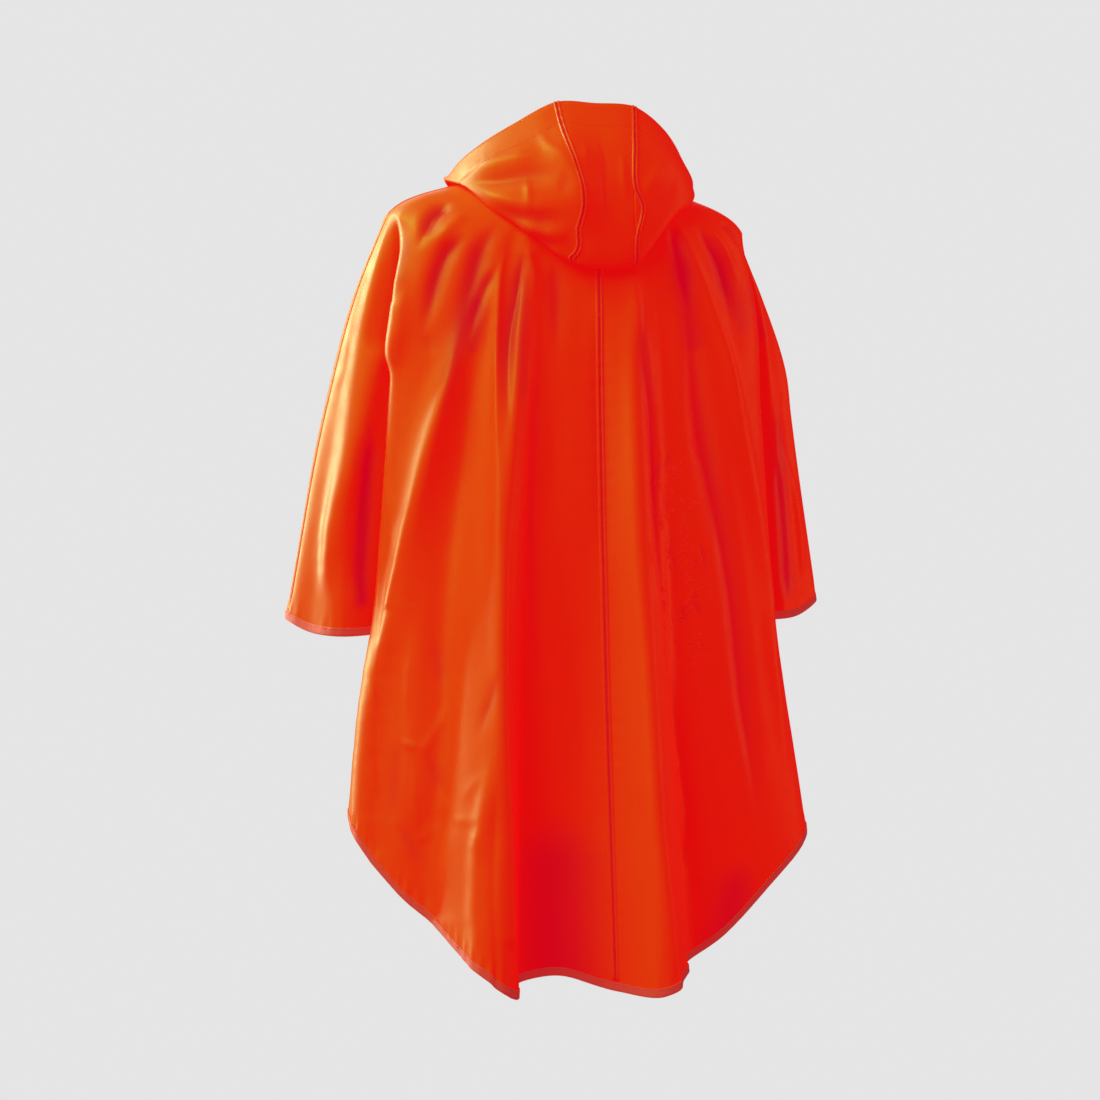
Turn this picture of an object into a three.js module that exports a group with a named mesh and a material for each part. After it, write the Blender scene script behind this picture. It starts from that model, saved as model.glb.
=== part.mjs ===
// Hooded rain poncho of coated cloth, in the hollow form that it keeps when it is worn, hood thrown back.
// Millimetres, +Z up, +X to the wearer's left, +Y to the wearer's back. The origin is the middle of the
// neck opening, at the height of the high points of the shoulders.
import * as THREE from "three";

// Driving dimensions
const cloth = { wall: 1.2, seamGap: 0.34, mitre: 2.4, seamRoom: 3.5, neckGap: 0.7 };
const tape = { wall: 0.9, width: 10, gap: 0.3 };
const neck = { half: 95, back: 78, front: 104, backDrop: 8, frontDrop: 58 };
const shoulder = { middle: 5, half: 231, back: 98, front: 112, square: 3, settle: 5, roundness: 0.65 };
const shoulderZ = { side: -58, back: -112, front: -140 };
const shoulderRoll = { side: 75, back: 90 };
const level = { arm: -140, elbow: -240, armpit: -290, cuff: -545 };

// How the rows of the cloth are spaced, as shares of each stretch
const rowShare = {
  yoke: [0, 0.2, 0.4, 0.58, 0.74, 0.88, 1],
  upper: [0.18, 0.36, 0.54, 0.7, 0.85, 1],
  body: [0.03, 0.08, 0.15, 0.24, 0.33, 0.43, 0.53, 0.63, 0.73, 0.83, 0.92, 1],
  sleeve: [0.05, 0.15, 0.32, 0.54, 0.77, 1],
};

// Each row is one fold line of the cloth: where it runs in plan, x and y, at the shoulder's edge and at
// each level, the height where the hem cuts it, and the steps of cloth to the next line. A split line
// turns at the underarm point, where body and sleeve part.
const backLines = [
  { fold: "side right", split: true, edge: [-224, 30], arm: [-206, 6], armpit: [-190, -25],
    cuff: [-202, -32], hem: [-302, -30], cut: -806, steps: 2 },
  { fold: "turn right", edge: [-222, 36], arm: [-229, 24], armpit: [-236, 6], cuff: [-254, -6],
    hem: [-318, -8], cut: -814, steps: 2 },
  { fold: "edge right", edge: [-216, 44], arm: [-235, 40], armpit: [-251, 28], cuff: [-276, 18],
    hem: [-323, 22], cut: -826, steps: 2 },
  { fold: "crest right", edge: [-200, 64], arm: [-216, 64], armpit: [-234, 58], cuff: [-256, 54],
    hem: [-293, 70], cut: -842, steps: 3 },
  { fold: "valley right", edge: [-154, 88], cuff: [-190, 94], hem: [-232, 98], cut: -884, steps: 2 },
  { fold: "hollow right", edge: [-108, 96], cuff: [-130, 100], hem: [-165, 104], cut: -940, steps: 2 },
  { fold: "foot right", edge: [-80, 97], cuff: [-92, 106], hem: [-112, 114], cut: -965, steps: 2 },
  { fold: "wall right", edge: [-64, 99], cuff: [-70, 132], hem: [-76, 190], cut: -960, steps: 3 },
  { fold: "ridge right", edge: [-44, 102], cuff: [-42, 148], hem: [-26, 230], cut: -974, steps: 3 },
  { fold: "centre back", edge: [1, 99], cuff: [3, 124], hem: [14, 184], cut: -974, steps: 2 },
  { fold: "hollow left", edge: [38, 97], cuff: [45, 119], hem: [70, 136], cut: -962, steps: 2 },
  { fold: "foot left", edge: [68, 96], cuff: [100, 122], hem: [118, 140], cut: -964, steps: 2 },
  { fold: "wall left", edge: [85, 98], cuff: [134, 156], hem: [152, 218], cut: -963, steps: 2 },
  { fold: "ridge left", edge: [98, 99], cuff: [150, 164], hem: [184, 236], cut: -942, steps: 3 },
  { fold: "dip left", edge: [112, 95], cuff: [186, 128], hem: [224, 172], cut: -900, steps: 2 },
  { fold: "slant left", edge: [129, 95], cuff: [232, 92], hem: [254, 130], cut: -865, steps: 3 },
  { fold: "crest left", edge: [208, 66], arm: [222, 64], armpit: [235, 60], cuff: [255, 58],
    hem: [280, 94], cut: -822, steps: 2 },
  { fold: "edge left", edge: [226, 44], arm: [238, 48], armpit: [248, 46], cuff: [267, 40],
    hem: [297, 50], cut: -770, steps: 2 },
  { fold: "turn left", edge: [232, 36], arm: [229, 30], armpit: [236, 20], cuff: [256, 14],
    hem: [286, 14], cut: -763, steps: 2 },
  { fold: "side left", split: true, edge: [234, 30], arm: [212, 6], armpit: [190, -25], cuff: [200, -32],
    hem: [276, -24], cut: -762 },
];
const frontLines = [
  { fold: "front side left", split: true, edge: [233, -30], arm: [208, -42], armpit: [190, -25],
    cuff: [200, -32], hem: [276, -24], cut: -762, steps: 2 },
  { fold: "front turn left", edge: [229, -38], arm: [220, -62], armpit: [212, -66], cuff: [226, -84],
    hem: [258, -58], cut: -764, steps: 2 },
  { fold: "front edge left", edge: [222, -48], arm: [228, -84], armpit: [222, -104], cuff: [214, -128],
    hem: [248, -92], cut: -772, steps: 2 },
  { fold: "front crest left", edge: [206, -66], arm: [212, -100], armpit: [206, -122], cuff: [196, -150],
    hem: [230, -128], cut: -790, steps: 2 },
  { fold: "front valley left", edge: [158, -96], cuff: [152, -148], hem: [184, -150], cut: -836, steps: 2 },
  { fold: "front ridge left", edge: [108, -108], cuff: [108, -178], hem: [128, -206], cut: -878, steps: 2 },
  { fold: "front dip left", edge: [54, -112], cuff: [58, -160], hem: [70, -168], cut: -895, steps: 2 },
  { fold: "centre front", edge: [0, -112], cuff: [0, -168], hem: [0, -188], cut: -900, steps: 2 },
  { fold: "front dip right", edge: [-52, -112], cuff: [-62, -160], hem: [-78, -166], cut: -895, steps: 2 },
  { fold: "front ridge right", edge: [-104, -108], cuff: [-118, -176], hem: [-144, -204], cut: -880,
    steps: 2 },
  { fold: "front valley right", edge: [-150, -96], cuff: [-168, -148], hem: [-210, -150], cut: -846,
    steps: 2 },
  { fold: "front crest right", edge: [-196, -66], arm: [-208, -100], armpit: [-212, -120],
    cuff: [-228, -146], hem: [-274, -124], cut: -810, steps: 2 },
  { fold: "front edge right", edge: [-212, -48], arm: [-224, -84], armpit: [-230, -102],
    cuff: [-248, -124], hem: [-298, -90], cut: -800, steps: 2 },
  { fold: "front turn right", edge: [-219, -38], arm: [-214, -62], armpit: [-213, -66],
    cuff: [-232, -84], hem: [-306, -58], cut: -800, steps: 2 },
  { fold: "front side right", split: true, edge: [-223, -30], arm: [-202, -42], armpit: [-190, -25],
    cuff: [-202, -32], hem: [-302, -30], cut: -806 },
];
const sleeveLeftLines = [
  { fold: "side left", split: true, edge: [234, 30], arm: [212, 6], armpit: [190, -25], cuff: [214, -46],
    cut: -557, steps: 3 },
  { fold: "back inner left", edge: [235, 22], arm: [236, 14], armpit: [226, 2], cuff: [246, -8],
    cut: -560, steps: 3 },
  { fold: "back outer left", edge: [236, 12], arm: [257, 10], armpit: [282, 12], cuff: [302, 14],
    cut: -560, steps: 2 },
  { fold: "overarm back left", edge: [236, 5], arm: [263, -4], armpit: [296, -10], cuff: [330, -20],
    cut: -556, steps: 2 },
  { fold: "overarm left", edge: [236, -2], arm: [266, -18], armpit: [304, -34], cuff: [349, -52],
    cut: -543, steps: 3 },
  { fold: "front outer left", edge: [235, -14], arm: [256, -52], armpit: [284, -84], cuff: [306, -122],
    cut: -554, steps: 3 },
  { fold: "front inner left", edge: [234, -22], arm: [236, -58], armpit: [232, -68], cuff: [250, -102],
    cut: -557, steps: 3 },
  { fold: "front side left", split: true, edge: [233, -30], arm: [208, -42], armpit: [190, -25],
    cuff: [214, -46], cut: -557 },
];
const sleeveRightLines = [
  { fold: "front side right", split: true, edge: [-223, -30], arm: [-202, -42], armpit: [-190, -25],
    cuff: [-216, -46], cut: -553, steps: 3 },
  { fold: "front inner right", edge: [-224, -22], arm: [-230, -58], armpit: [-234, -68],
    cuff: [-256, -102], cut: -553, steps: 3 },
  { fold: "front outer right", edge: [-225, -14], arm: [-252, -52], elbow: [-284, -70],
    armpit: [-298, -82], cuff: [-322, -114], cut: -548, steps: 3 },
  { fold: "overarm right", edge: [-226, -2], arm: [-270, -8], elbow: [-314, -20], armpit: [-323, -24],
    cuff: [-371, -40], cut: -535, steps: 2 },
  { fold: "overarm back right", edge: [-226, 5], arm: [-264, 5], elbow: [-297, -4], armpit: [-305, -7],
    cuff: [-340, -18], cut: -550, steps: 2 },
  { fold: "back outer right", edge: [-226, 12], arm: [-252, 18], elbow: [-268, 16], armpit: [-276, 14],
    cuff: [-292, 12], cut: -555, steps: 3 },
  { fold: "back inner right", edge: [-225, 22], arm: [-232, 12], armpit: [-232, -8], cuff: [-250, -18],
    cut: -555, steps: 3 },
  { fold: "side right", split: true, edge: [-224, 30], arm: [-206, 6], armpit: [-190, -25],
    cuff: [-216, -46], cut: -553 },
];

// The hood's rings in plan, from the neck seam up, over and down to its lower fold, and up to the face
// edge. The square is 2 for a round back and more for a squarer one; the seams, right and left, are the
// turns in degrees at which the ring meets the middle panel. The rings beside the fold lie a share of the
// way up from it.
const hoodSeamTurn = 17;
const foldShare = 0.13;
const hoodRings = [
  { ring: "neck", left: 95, right: 95, back: 78, front: 104, square: 2, seams: [21, 21] },
  { ring: "stand", left: 98, right: 98, back: 80, front: 108, square: 2, seams: [20, 20] },
  { ring: "crown", left: 107, right: 105, back: 89, front: 112, square: 2.1, seams: [18, 17] },
  { ring: "over", left: 120, right: 116, back: 98, front: 115, square: 2.3, seams: [15, 14] },
  { ring: "under", left: 140, right: 134, back: 104, front: 119, square: 2.8, seams: [9.2, 8.7] },
  { ring: "foldIn", left: 152, right: 143, back: 107, front: 121, square: 3, seams: [8.2, 6.8] },
  { ring: "fold", left: 157, right: 147, back: 114, front: 123, square: 3, seams: [8, 6.6] },
  { ring: "foldOut", left: 160, right: 149, back: 121, front: 125, square: 2.9, seams: [8, 6.9] },
  { ring: "belly", left: 159, right: 149, back: 127, front: 127, square: 2.6, seams: [7.9, 8.2] },
  { ring: "upper", left: 158, right: 154, back: 113, front: 130, square: 2.3, seams: [12.1, 15.2] },
  { ring: "rim", left: 156, right: 155, back: 82, front: 132, square: 2, seams: [20, 18] },
];
// The height of each ring at each turn from the centre back; plus is to the wearer's left.
const hoodStations = [
  { turn: -158, stand: -33, crown: -26, over: -24, under: -23, fold: -23, belly: -24, upper: -25,
    rim: -26 },
  { turn: -135, stand: -14, crown: -8, over: -8, under: -10, fold: -13, belly: -15, upper: -17, rim: -19 },
  { turn: -112, stand: 4, crown: 10, over: 8, under: 3, fold: -3, belly: -6, upper: -8, rim: -10 },
  { turn: -90, stand: 12, crown: 15, over: 10, under: 2, fold: -9, belly: -8, upper: -7, rim: -6 },
  { turn: -74, stand: 11, crown: 16, over: 9, under: -4, fold: -20, belly: -13, upper: -4, rim: 2 },
  { turn: -56, stand: 10, crown: 16, over: 8, under: -18, fold: -37, belly: -20, upper: 3, rim: 25 },
  { turn: -38, stand: 10, crown: 17, over: 6, under: -28, fold: -54, belly: -26, upper: 16, rim: 54 },
  { turn: -17, stand: 10, crown: 17, over: 3, under: -50, fold: -115, belly: -40, upper: 28, rim: 77 },
  { turn: 0, stand: 10, crown: 17, over: 2, under: -56, fold: -122, belly: -44, upper: 28, rim: 77 },
  { turn: 17, stand: 10, crown: 17, over: 3, under: -52, fold: -118, belly: -42, upper: 27, rim: 76 },
  { turn: 38, stand: 10, crown: 17, over: 6, under: -36, fold: -79, belly: -34, upper: 12, rim: 49 },
  { turn: 56, stand: 10, crown: 16, over: 8, under: -22, fold: -52, belly: -26, upper: 2, rim: 27 },
  { turn: 74, stand: 11, crown: 16, over: 9, under: -4, fold: -26, belly: -16, upper: -3, rim: 8 },
  { turn: 90, stand: 12, crown: 15, over: 10, under: 2, fold: -11, belly: -9, upper: -8, rim: -6 },
  { turn: 112, stand: 4, crown: 10, over: 8, under: 3, fold: -3, belly: -6, upper: -8, rim: -10 },
  { turn: 135, stand: -14, crown: -8, over: -8, under: -10, fold: -13, belly: -15, upper: -17, rim: -19 },
  { turn: 158, stand: -33, crown: -26, over: -24, under: -23, fold: -23, belly: -24, upper: -25, rim: -26 },
];
const hoodFront = { turn: 180, stand: -42, crown: -36, over: -33, under: -30, fold: -28, belly: -27,
  upper: -27, rim: -27 };
const hoodSteps = { around: 2, along: [1, 2, 2, 2, 2, 1, 1, 2, 2, 2] };

const materials = {
  cloth: new THREE.MeshStandardMaterial({ color: 0xe8320c, roughness: 0.42, metalness: 0 }),
  tape: new THREE.MeshStandardMaterial({ color: 0xc92f38, roughness: 0.8, metalness: 0 }),
};

const raised = (value, power) => Math.sign(value) * Math.abs(value) ** power;
const radians = THREE.MathUtils.degToRad;

// The turn round the neck, from the centre back, of a place on the shoulder's edge
function turnOf([x, y]) {
  const depth = y > 0 ? shoulder.back : shoulder.front;
  const across = raised((x - shoulder.middle) / shoulder.half, shoulder.square / 2);
  return Math.atan2(across, raised(y / depth, shoulder.square / 2));
}

// The height of the neck opening's edge at a depth
function neckHeight(y) {
  return y > 0 ? -neck.backDrop * (y / neck.back) ** 2 : -neck.frontDrop * (y / neck.front) ** 2;
}

// The smooth shoulder form: share 0 is the neck opening, share 1 the edge where the cloth starts to hang
function yokePoint(turn, share) {
  const across = Math.sin(turn);
  const along = Math.cos(turn);
  const isBack = along > 0;
  const start = new THREE.Vector3(neck.half * across, (isBack ? neck.back : neck.front) * along, 0);
  start.z = neckHeight(start.y);
  const side = Math.abs(across) ** shoulder.settle;
  const low = isBack ? shoulderZ.back : shoulderZ.front;
  const end = new THREE.Vector3(
    shoulder.middle + shoulder.half * raised(across, 2 / shoulder.square),
    (isBack ? shoulder.back : shoulder.front) * raised(along, 2 / shoulder.square),
    low + (shoulderZ.side - low) * side,
  );
  const roll = radians(shoulderRoll.back + (shoulderRoll.side - shoulderRoll.back) * side);
  const out = Math.sin(roll * share) / Math.sin(roll);
  const round = (1 - Math.cos(roll * share)) / (1 - Math.cos(roll));
  const point = start.clone().lerp(end, out);
  const straight = 1 - shoulder.roundness * out;
  point.z = start.z + (end.z - start.z) * (out * straight + round * (1 - straight));
  return point;
}

// A smooth curve through the values at the knots, read at one place
function smoothAt(knots, values, place) {
  let i = knots.findIndex((knot) => knot > place) - 1;
  if (i < 0) i = place < knots[0] ? 0 : knots.length - 2;
  const rise = (j) => (values[j + 1] - values[j]) / (knots[j + 1] - knots[j]);
  const slopeAt = (j) => {
    if (j === 0) return rise(0);
    if (j === knots.length - 1) return rise(j - 1);
    const before = knots[j] - knots[j - 1];
    const after = knots[j + 1] - knots[j];
    return (rise(j - 1) * after + rise(j) * before) / (before + after);
  };
  const span = knots[i + 1] - knots[i];
  const t = (place - knots[i]) / span;
  const hold = (1 - t) ** 2;
  return (
    values[i] * (1 + 2 * t) * hold +
    slopeAt(i) * span * t * hold +
    values[i + 1] * t * t * (3 - 2 * t) +
    slopeAt(i + 1) * span * t * t * (t - 1)
  );
}

const edgeHeight = (line) => yokePoint(turnOf(line.edge), 1).z;

// Where a fold line runs at a height
function lineAt(line, z) {
  const upper = [[-edgeHeight(line), line.edge]];
  for (const name of ["arm", "elbow", "armpit"]) {
    if (line[name]) upper.push([-level[name], line[name]]);
  }
  const lower = [[-line.cut, line.cuff]];
  if (line.hem) lower.splice(0, 1, [-level.cuff, line.cuff], [-line.cut, line.hem]);
  let stops = [...upper, ...lower];
  if (line.split) stops = z < level.armpit ? [upper.at(-1), ...lower] : upper;
  const knots = stops.map((stop) => stop[0]);
  const x = smoothAt(knots, stops.map((stop) => stop[1][0]), -z);
  const y = smoothAt(knots, stops.map((stop) => stop[1][1]), -z);
  return new THREE.Vector3(x, y, z);
}

// A centripetal spline through points, with a number of steps in each span
function splineThrough(points, steps) {
  const last = points.length - 1;
  const before = points[0].clone().multiplyScalar(2).sub(points[1]);
  const after = points[last].clone().multiplyScalar(2).sub(points[last - 1]);
  const all = [before, ...points, after];
  const made = [];
  for (let i = 0; i < last; i++) {
    const [p0, p1, p2, p3] = all.slice(i, i + 4);
    const t1 = Math.sqrt(Math.max(p0.distanceTo(p1), 1e-6));
    const t2 = t1 + Math.sqrt(Math.max(p1.distanceTo(p2), 1e-6));
    const t3 = t2 + Math.sqrt(Math.max(p2.distanceTo(p3), 1e-6));
    made.push(points[i].clone());
    for (let j = 1; j < steps[i]; j++) {
      const t = t1 + ((t2 - t1) * j) / steps[i];
      const a1 = p0.clone().lerp(p1, t / t1);
      const a2 = p1.clone().lerp(p2, (t - t1) / (t2 - t1));
      const a3 = p2.clone().lerp(p3, (t - t2) / (t3 - t2));
      const b1 = a1.lerp(a2, t / t2);
      const b2 = a2.clone().lerp(a3, (t - t1) / (t3 - t1));
      made.push(b1.lerp(b2, (t - t1) / (t2 - t1)));
    }
  }
  made.push(points[last].clone());
  return made;
}

// Rows of points down a stretch of cloth between two fold lines, from the neck to the hem or the cuff
function hangingRows(lines, lowerShares) {
  const steps = lines.slice(0, -1).map((line) => line.steps);
  const edge = splineThrough(lines.map((line) => lineAt(line, edgeHeight(line))), steps);
  const rows = rowShare.yoke.map((share) =>
    edge.map((point) => {
      const turn = turnOf([point.x, point.y]);
      const relief = point.clone().sub(yokePoint(turn, 1));
      return yokePoint(turn, share).addScaledVector(relief, share * share);
    }),
  );
  const rowAt = (heightOf) => {
    rows.push(splineThrough(lines.map((line) => lineAt(line, heightOf(line))), steps));
  };
  for (const share of rowShare.upper) {
    rowAt((line) => edgeHeight(line) + (level.armpit - edgeHeight(line)) * share);
  }
  for (const share of lowerShares) {
    rowAt((line) => level.armpit + (line.cut + tape.width - level.armpit) * share);
  }
  rowAt((line) => line.cut);
  return rows;
}

// The turn of a hood station on a ring, moved so that the seams keep their own line
function ringTurn(turn, ring) {
  const size = Math.abs(turn);
  if (size >= 90) return radians(turn);
  const seam = ring.seams[turn > 0 ? 1 : 0];
  const share = (size - hoodSeamTurn) / (90 - hoodSeamTurn);
  const beside = seam + (90 - seam) * share;
  const moved = size < hoodSeamTurn ? (size * seam) / hoodSeamTurn : beside;
  return radians(Math.sign(turn) * moved);
}

function hoodPoint(station, ring) {
  const turn = ringTurn(station.turn, ring);
  const along = Math.cos(turn);
  const isBack = along > 0;
  const bend = isBack ? 2 / ring.square : 1;
  const heights = {
    ...station,
    foldIn: station.fold + (station.under - station.fold) * foldShare,
    foldOut: station.fold + (station.belly - station.fold) * foldShare,
  };
  const x = (turn > 0 ? ring.left : ring.right) * raised(Math.sin(turn), bend);
  const y = (isBack ? ring.back : ring.front) * raised(along, bend);
  return new THREE.Vector3(x, y, heights[ring.ring] ?? neckHeight(y));
}

// Rows of points along the hood, from the neck seam to the face edge, each row once round from the front
function hoodRows() {
  const stations = [{ ...hoodFront, turn: -180 }, ...hoodStations, hoodFront];
  const around = stations.slice(1).map(() => hoodSteps.around);
  const rings = hoodRings.map((ring) => {
    const points = stations.map((station) => hoodPoint(station, ring));
    points[0].x = 0;
    points[points.length - 1].copy(points[0]);
    const made = splineThrough(points, around);
    if (ring.ring === "neck") made.forEach((point) => (point.z = cloth.neckGap + neckHeight(point.y)));
    return made;
  });
  const columns = rings[0].map((_, i) => splineThrough(rings.map((ring) => ring[i]), hoodSteps.along));
  return columns[0].map((_, row) => columns.map((column) => column[row]));
}

// The whole garment as one welded sheet, with the panel that each triangle is cut in
const sheet = { points: [], places: new Map(), triangles: [], panels: [] };

function sheetIndex(point) {
  const key = point.toArray().map((value) => value.toFixed(3)).join();
  if (!sheet.places.has(key)) {
    sheet.places.set(key, sheet.points.length);
    sheet.points.push(point);
  }
  return sheet.places.get(key);
}

// Adds a block of rows; panelOf names the panel of each column of cloth
function addBlock(rows, panelOf) {
  const grid = rows.map((row) => row.map(sheetIndex));
  for (let r = 0; r + 1 < grid.length; r++) {
    for (let c = 0; c + 1 < grid[r].length; c++) {
      const [a, b, d, e] = [grid[r][c], grid[r][c + 1], grid[r + 1][c], grid[r + 1][c + 1]];
      sheet.triangles.push([a, b, e], [a, e, d]);
      sheet.panels.push(panelOf(c), panelOf(c));
    }
  }
  return grid;
}

// The number of columns before a named fold line
function columnsBefore(lines, fold) {
  const end = lines.findIndex((line) => line.fold === fold);
  return lines.slice(0, end).reduce((sum, line) => sum + line.steps, 0);
}

const centreBack = columnsBefore(backLines, "centre back");
const overarmLeft = columnsBefore(sleeveLeftLines, "overarm left");
const overarmRight = columnsBefore(sleeveRightLines, "overarm right");
const backGrid = addBlock(hangingRows(backLines, rowShare.body), (c) =>
  c < centreBack ? "back_right" : "back_left",
);
const frontGrid = addBlock(hangingRows(frontLines, rowShare.body), () => "front");
const sleeveLeftGrid = addBlock(hangingRows(sleeveLeftLines, rowShare.sleeve), (c) =>
  c < overarmLeft ? "back_left" : "front",
);
const sleeveRightGrid = addBlock(hangingRows(sleeveRightLines, rowShare.sleeve), (c) =>
  c < overarmRight ? "front" : "back_right",
);
const hoodSeamColumns = [-1, 1].map(
  (side) => hoodSteps.around * (1 + hoodStations.findIndex((one) => one.turn === side * hoodSeamTurn)),
);
addBlock(hoodRows(), (c) => {
  if (c < hoodSeamColumns[0]) return "hood_right";
  return c < hoodSeamColumns[1] ? "hood_centre" : "hood_left";
});

// The outward normal of each point, and how far a wall that is one unit thick reaches along it at a bend
const normals = sheet.points.map(() => new THREE.Vector3());
const faceNormals = sheet.triangles.map((triangle) => {
  const [a, b, c] = triangle.map((i) => sheet.points[i]);
  const normal = b.clone().sub(a).cross(c.clone().sub(a));
  triangle.forEach((i) => normals[i].add(normal));
  return normal.normalize();
});
normals.forEach((normal) => normal.normalize());
const faceCount = sheet.points.map(() => 0);
const facing = sheet.points.map(() => 0);
sheet.triangles.forEach((triangle, t) => {
  triangle.forEach((i) => {
    faceCount[i] += 1;
    facing[i] += normals[i].dot(faceNormals[t]);
  });
});
const facingShare = facing.map((sum, i) => sum / faceCount[i]);
const reach = facingShare.map((share) => (share > 1 / cloth.mitre ? 1 / share : 1));
// How much more room a seam needs at a sharp bend, most at the underarm point
const seamRoom = facingShare.map((share) => 1 / Math.max(share, 1 / cloth.seamRoom));

const offPoint = (i, distance) => sheet.points[i].clone().addScaledVector(normals[i], distance * reach[i]);

function meshOf(name, points, triangles, material) {
  const geometry = new THREE.BufferGeometry();
  geometry.setAttribute(
    "position",
    new THREE.Float32BufferAttribute(points.flatMap((point) => point.toArray()), 3),
  );
  geometry.setIndex(triangles.flat());
  geometry.computeVertexNormals();
  const mesh = new THREE.Mesh(geometry, material);
  mesh.name = name;
  return mesh;
}

// One panel as a closed wall: its share of the sheet, the same moved in, and a rim round its edges.
// Its seam edges stand back by half the seam gap.
function panelMesh(name) {
  const outer = sheet.triangles.filter((_, t) => sheet.panels[t] === name);
  const others = new Set(sheet.triangles.filter((_, t) => sheet.panels[t] !== name).flat());
  const edges = new Set(outer.flatMap(([a, b, c]) => [`${a},${b}`, `${b},${c}`, `${c},${a}`]));
  const rim = [...edges].map((edge) => edge.split(",").map(Number));
  const open = rim.filter(([a, b]) => !edges.has(`${b},${a}`));
  const inward = new Map();
  const along = new Map();
  for (const [a, b] of open) {
    if (!others.has(a) || !others.has(b)) continue;
    const run = sheet.points[b].clone().sub(sheet.points[a]).normalize();
    for (const i of [a, b]) along.set(i, (along.get(i) ?? new THREE.Vector3()).add(run));
  }
  for (const triangle of outer) {
    for (const i of triangle.filter((one) => along.has(one))) {
      const toMiddle = new THREE.Vector3();
      triangle.forEach((one) => toMiddle.add(sheet.points[one]).sub(sheet.points[i]));
      inward.set(i, (inward.get(i) ?? new THREE.Vector3()).add(toMiddle));
    }
  }
  const seamShift = (i) => {
    if (!inward.has(i)) return new THREE.Vector3();
    const run = along.get(i).normalize();
    const away = inward.get(i).clone().projectOnPlane(run).projectOnPlane(normals[i]);
    return away.setLength((cloth.seamGap / 2) * seamRoom[i]);
  };
  const used = [...new Set(outer.flat())];
  const local = new Map(used.map((i, place) => [i, place]));
  const shifts = used.map(seamShift);
  const points = [
    ...used.map((i, place) => sheet.points[i].clone().add(shifts[place])),
    ...used.map((i, place) => offPoint(i, -cloth.wall).add(shifts[place])),
  ];
  const inner = (i) => local.get(i) + used.length;
  const triangles = [
    ...outer.map((triangle) => triangle.map((i) => local.get(i))),
    ...outer.map(([a, b, c]) => [inner(a), inner(c), inner(b)]),
    ...open.flatMap(([a, b]) => [
      [local.get(b), local.get(a), inner(a)],
      [local.get(b), inner(a), inner(b)],
    ]),
  ];
  return meshOf(name, points, triangles, materials.cloth);
}

// A woven tape folded over an edge of the cloth: edgePoints is the cut edge once round, and rowAbove the
// points of the cloth a tape's width above it
function tapeMesh(name, edgePoints, rowAbove) {
  const near = tape.gap;
  const far = tape.gap + tape.wall;
  const sections = edgePoints.map((i, place) => {
    const above = rowAbove[place];
    const down = sheet.points[i].clone().sub(sheet.points[above]).normalize();
    const below = (distance, drop) => offPoint(i, distance).addScaledVector(down, drop);
    return [
      offPoint(above, near),
      offPoint(above, far),
      below(far, far),
      below(-cloth.wall - far, far),
      offPoint(above, -cloth.wall - far),
      offPoint(above, -cloth.wall - near),
      below(-cloth.wall - near, near),
      below(near, near),
    ];
  });
  const sides = sections[0].length;
  const downSides = [1, 5];
  const triangles = [];
  for (let place = 0; place < sections.length; place++) {
    const next = (place + 1) % sections.length;
    for (let side = 0; side < sides; side++) {
      const turned = (side + 1) % sides;
      const [a, b] = [place * sides + side, place * sides + turned];
      const [d, e] = [next * sides + side, next * sides + turned];
      if (downSides.includes(side)) triangles.push([a, d, e], [a, e, b]);
      else triangles.push([a, d, b], [d, e, b]);
    }
  }
  return meshOf(name, sections.flat(), triangles, materials.tape);
}

// A row of the body once round, from the right side seam by the back and the front, and a row of a sleeve
const bodyLoop = (fromHem) => [
  ...backGrid.at(-1 - fromHem).slice(0, -1),
  ...frontGrid.at(-1 - fromHem).slice(0, -1),
];
const sleeveLoop = (grid, fromHem) => grid.at(-1 - fromHem).slice(0, -1);

const poncho = new THREE.Group();
for (const name of ["back_left", "back_right", "front", "hood_left", "hood_centre", "hood_right"]) {
  poncho.add(panelMesh(name));
}
poncho.add(tapeMesh("hem_binding", bodyLoop(0), bodyLoop(1)));
poncho.add(tapeMesh("cuff_binding_left", sleeveLoop(sleeveLeftGrid, 0), sleeveLoop(sleeveLeftGrid, 1)));
poncho.add(tapeMesh("cuff_binding_right", sleeveLoop(sleeveRightGrid, 0), sleeveLoop(sleeveRightGrid, 1)));

export default poncho;
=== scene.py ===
import bpy
import bmesh
import math
import numpy as np
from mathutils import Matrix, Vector, noise


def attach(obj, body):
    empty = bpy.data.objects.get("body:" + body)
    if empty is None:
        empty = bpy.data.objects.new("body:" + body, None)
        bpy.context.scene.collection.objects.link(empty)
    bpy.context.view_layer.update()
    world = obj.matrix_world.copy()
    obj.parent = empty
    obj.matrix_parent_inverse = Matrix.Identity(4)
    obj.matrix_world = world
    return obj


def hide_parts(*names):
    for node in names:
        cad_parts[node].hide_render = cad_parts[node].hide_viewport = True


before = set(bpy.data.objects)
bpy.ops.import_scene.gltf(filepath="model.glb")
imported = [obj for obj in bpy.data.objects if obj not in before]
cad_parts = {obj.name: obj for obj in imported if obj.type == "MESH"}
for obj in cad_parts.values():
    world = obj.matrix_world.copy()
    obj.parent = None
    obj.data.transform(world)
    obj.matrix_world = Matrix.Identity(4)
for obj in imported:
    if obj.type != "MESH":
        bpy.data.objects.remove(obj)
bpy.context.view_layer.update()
print("frame loaded")

# Rain poncho, seen from behind. Sizes are in millimetres here and become metres when a mesh is made.
mm = 0.001

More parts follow.
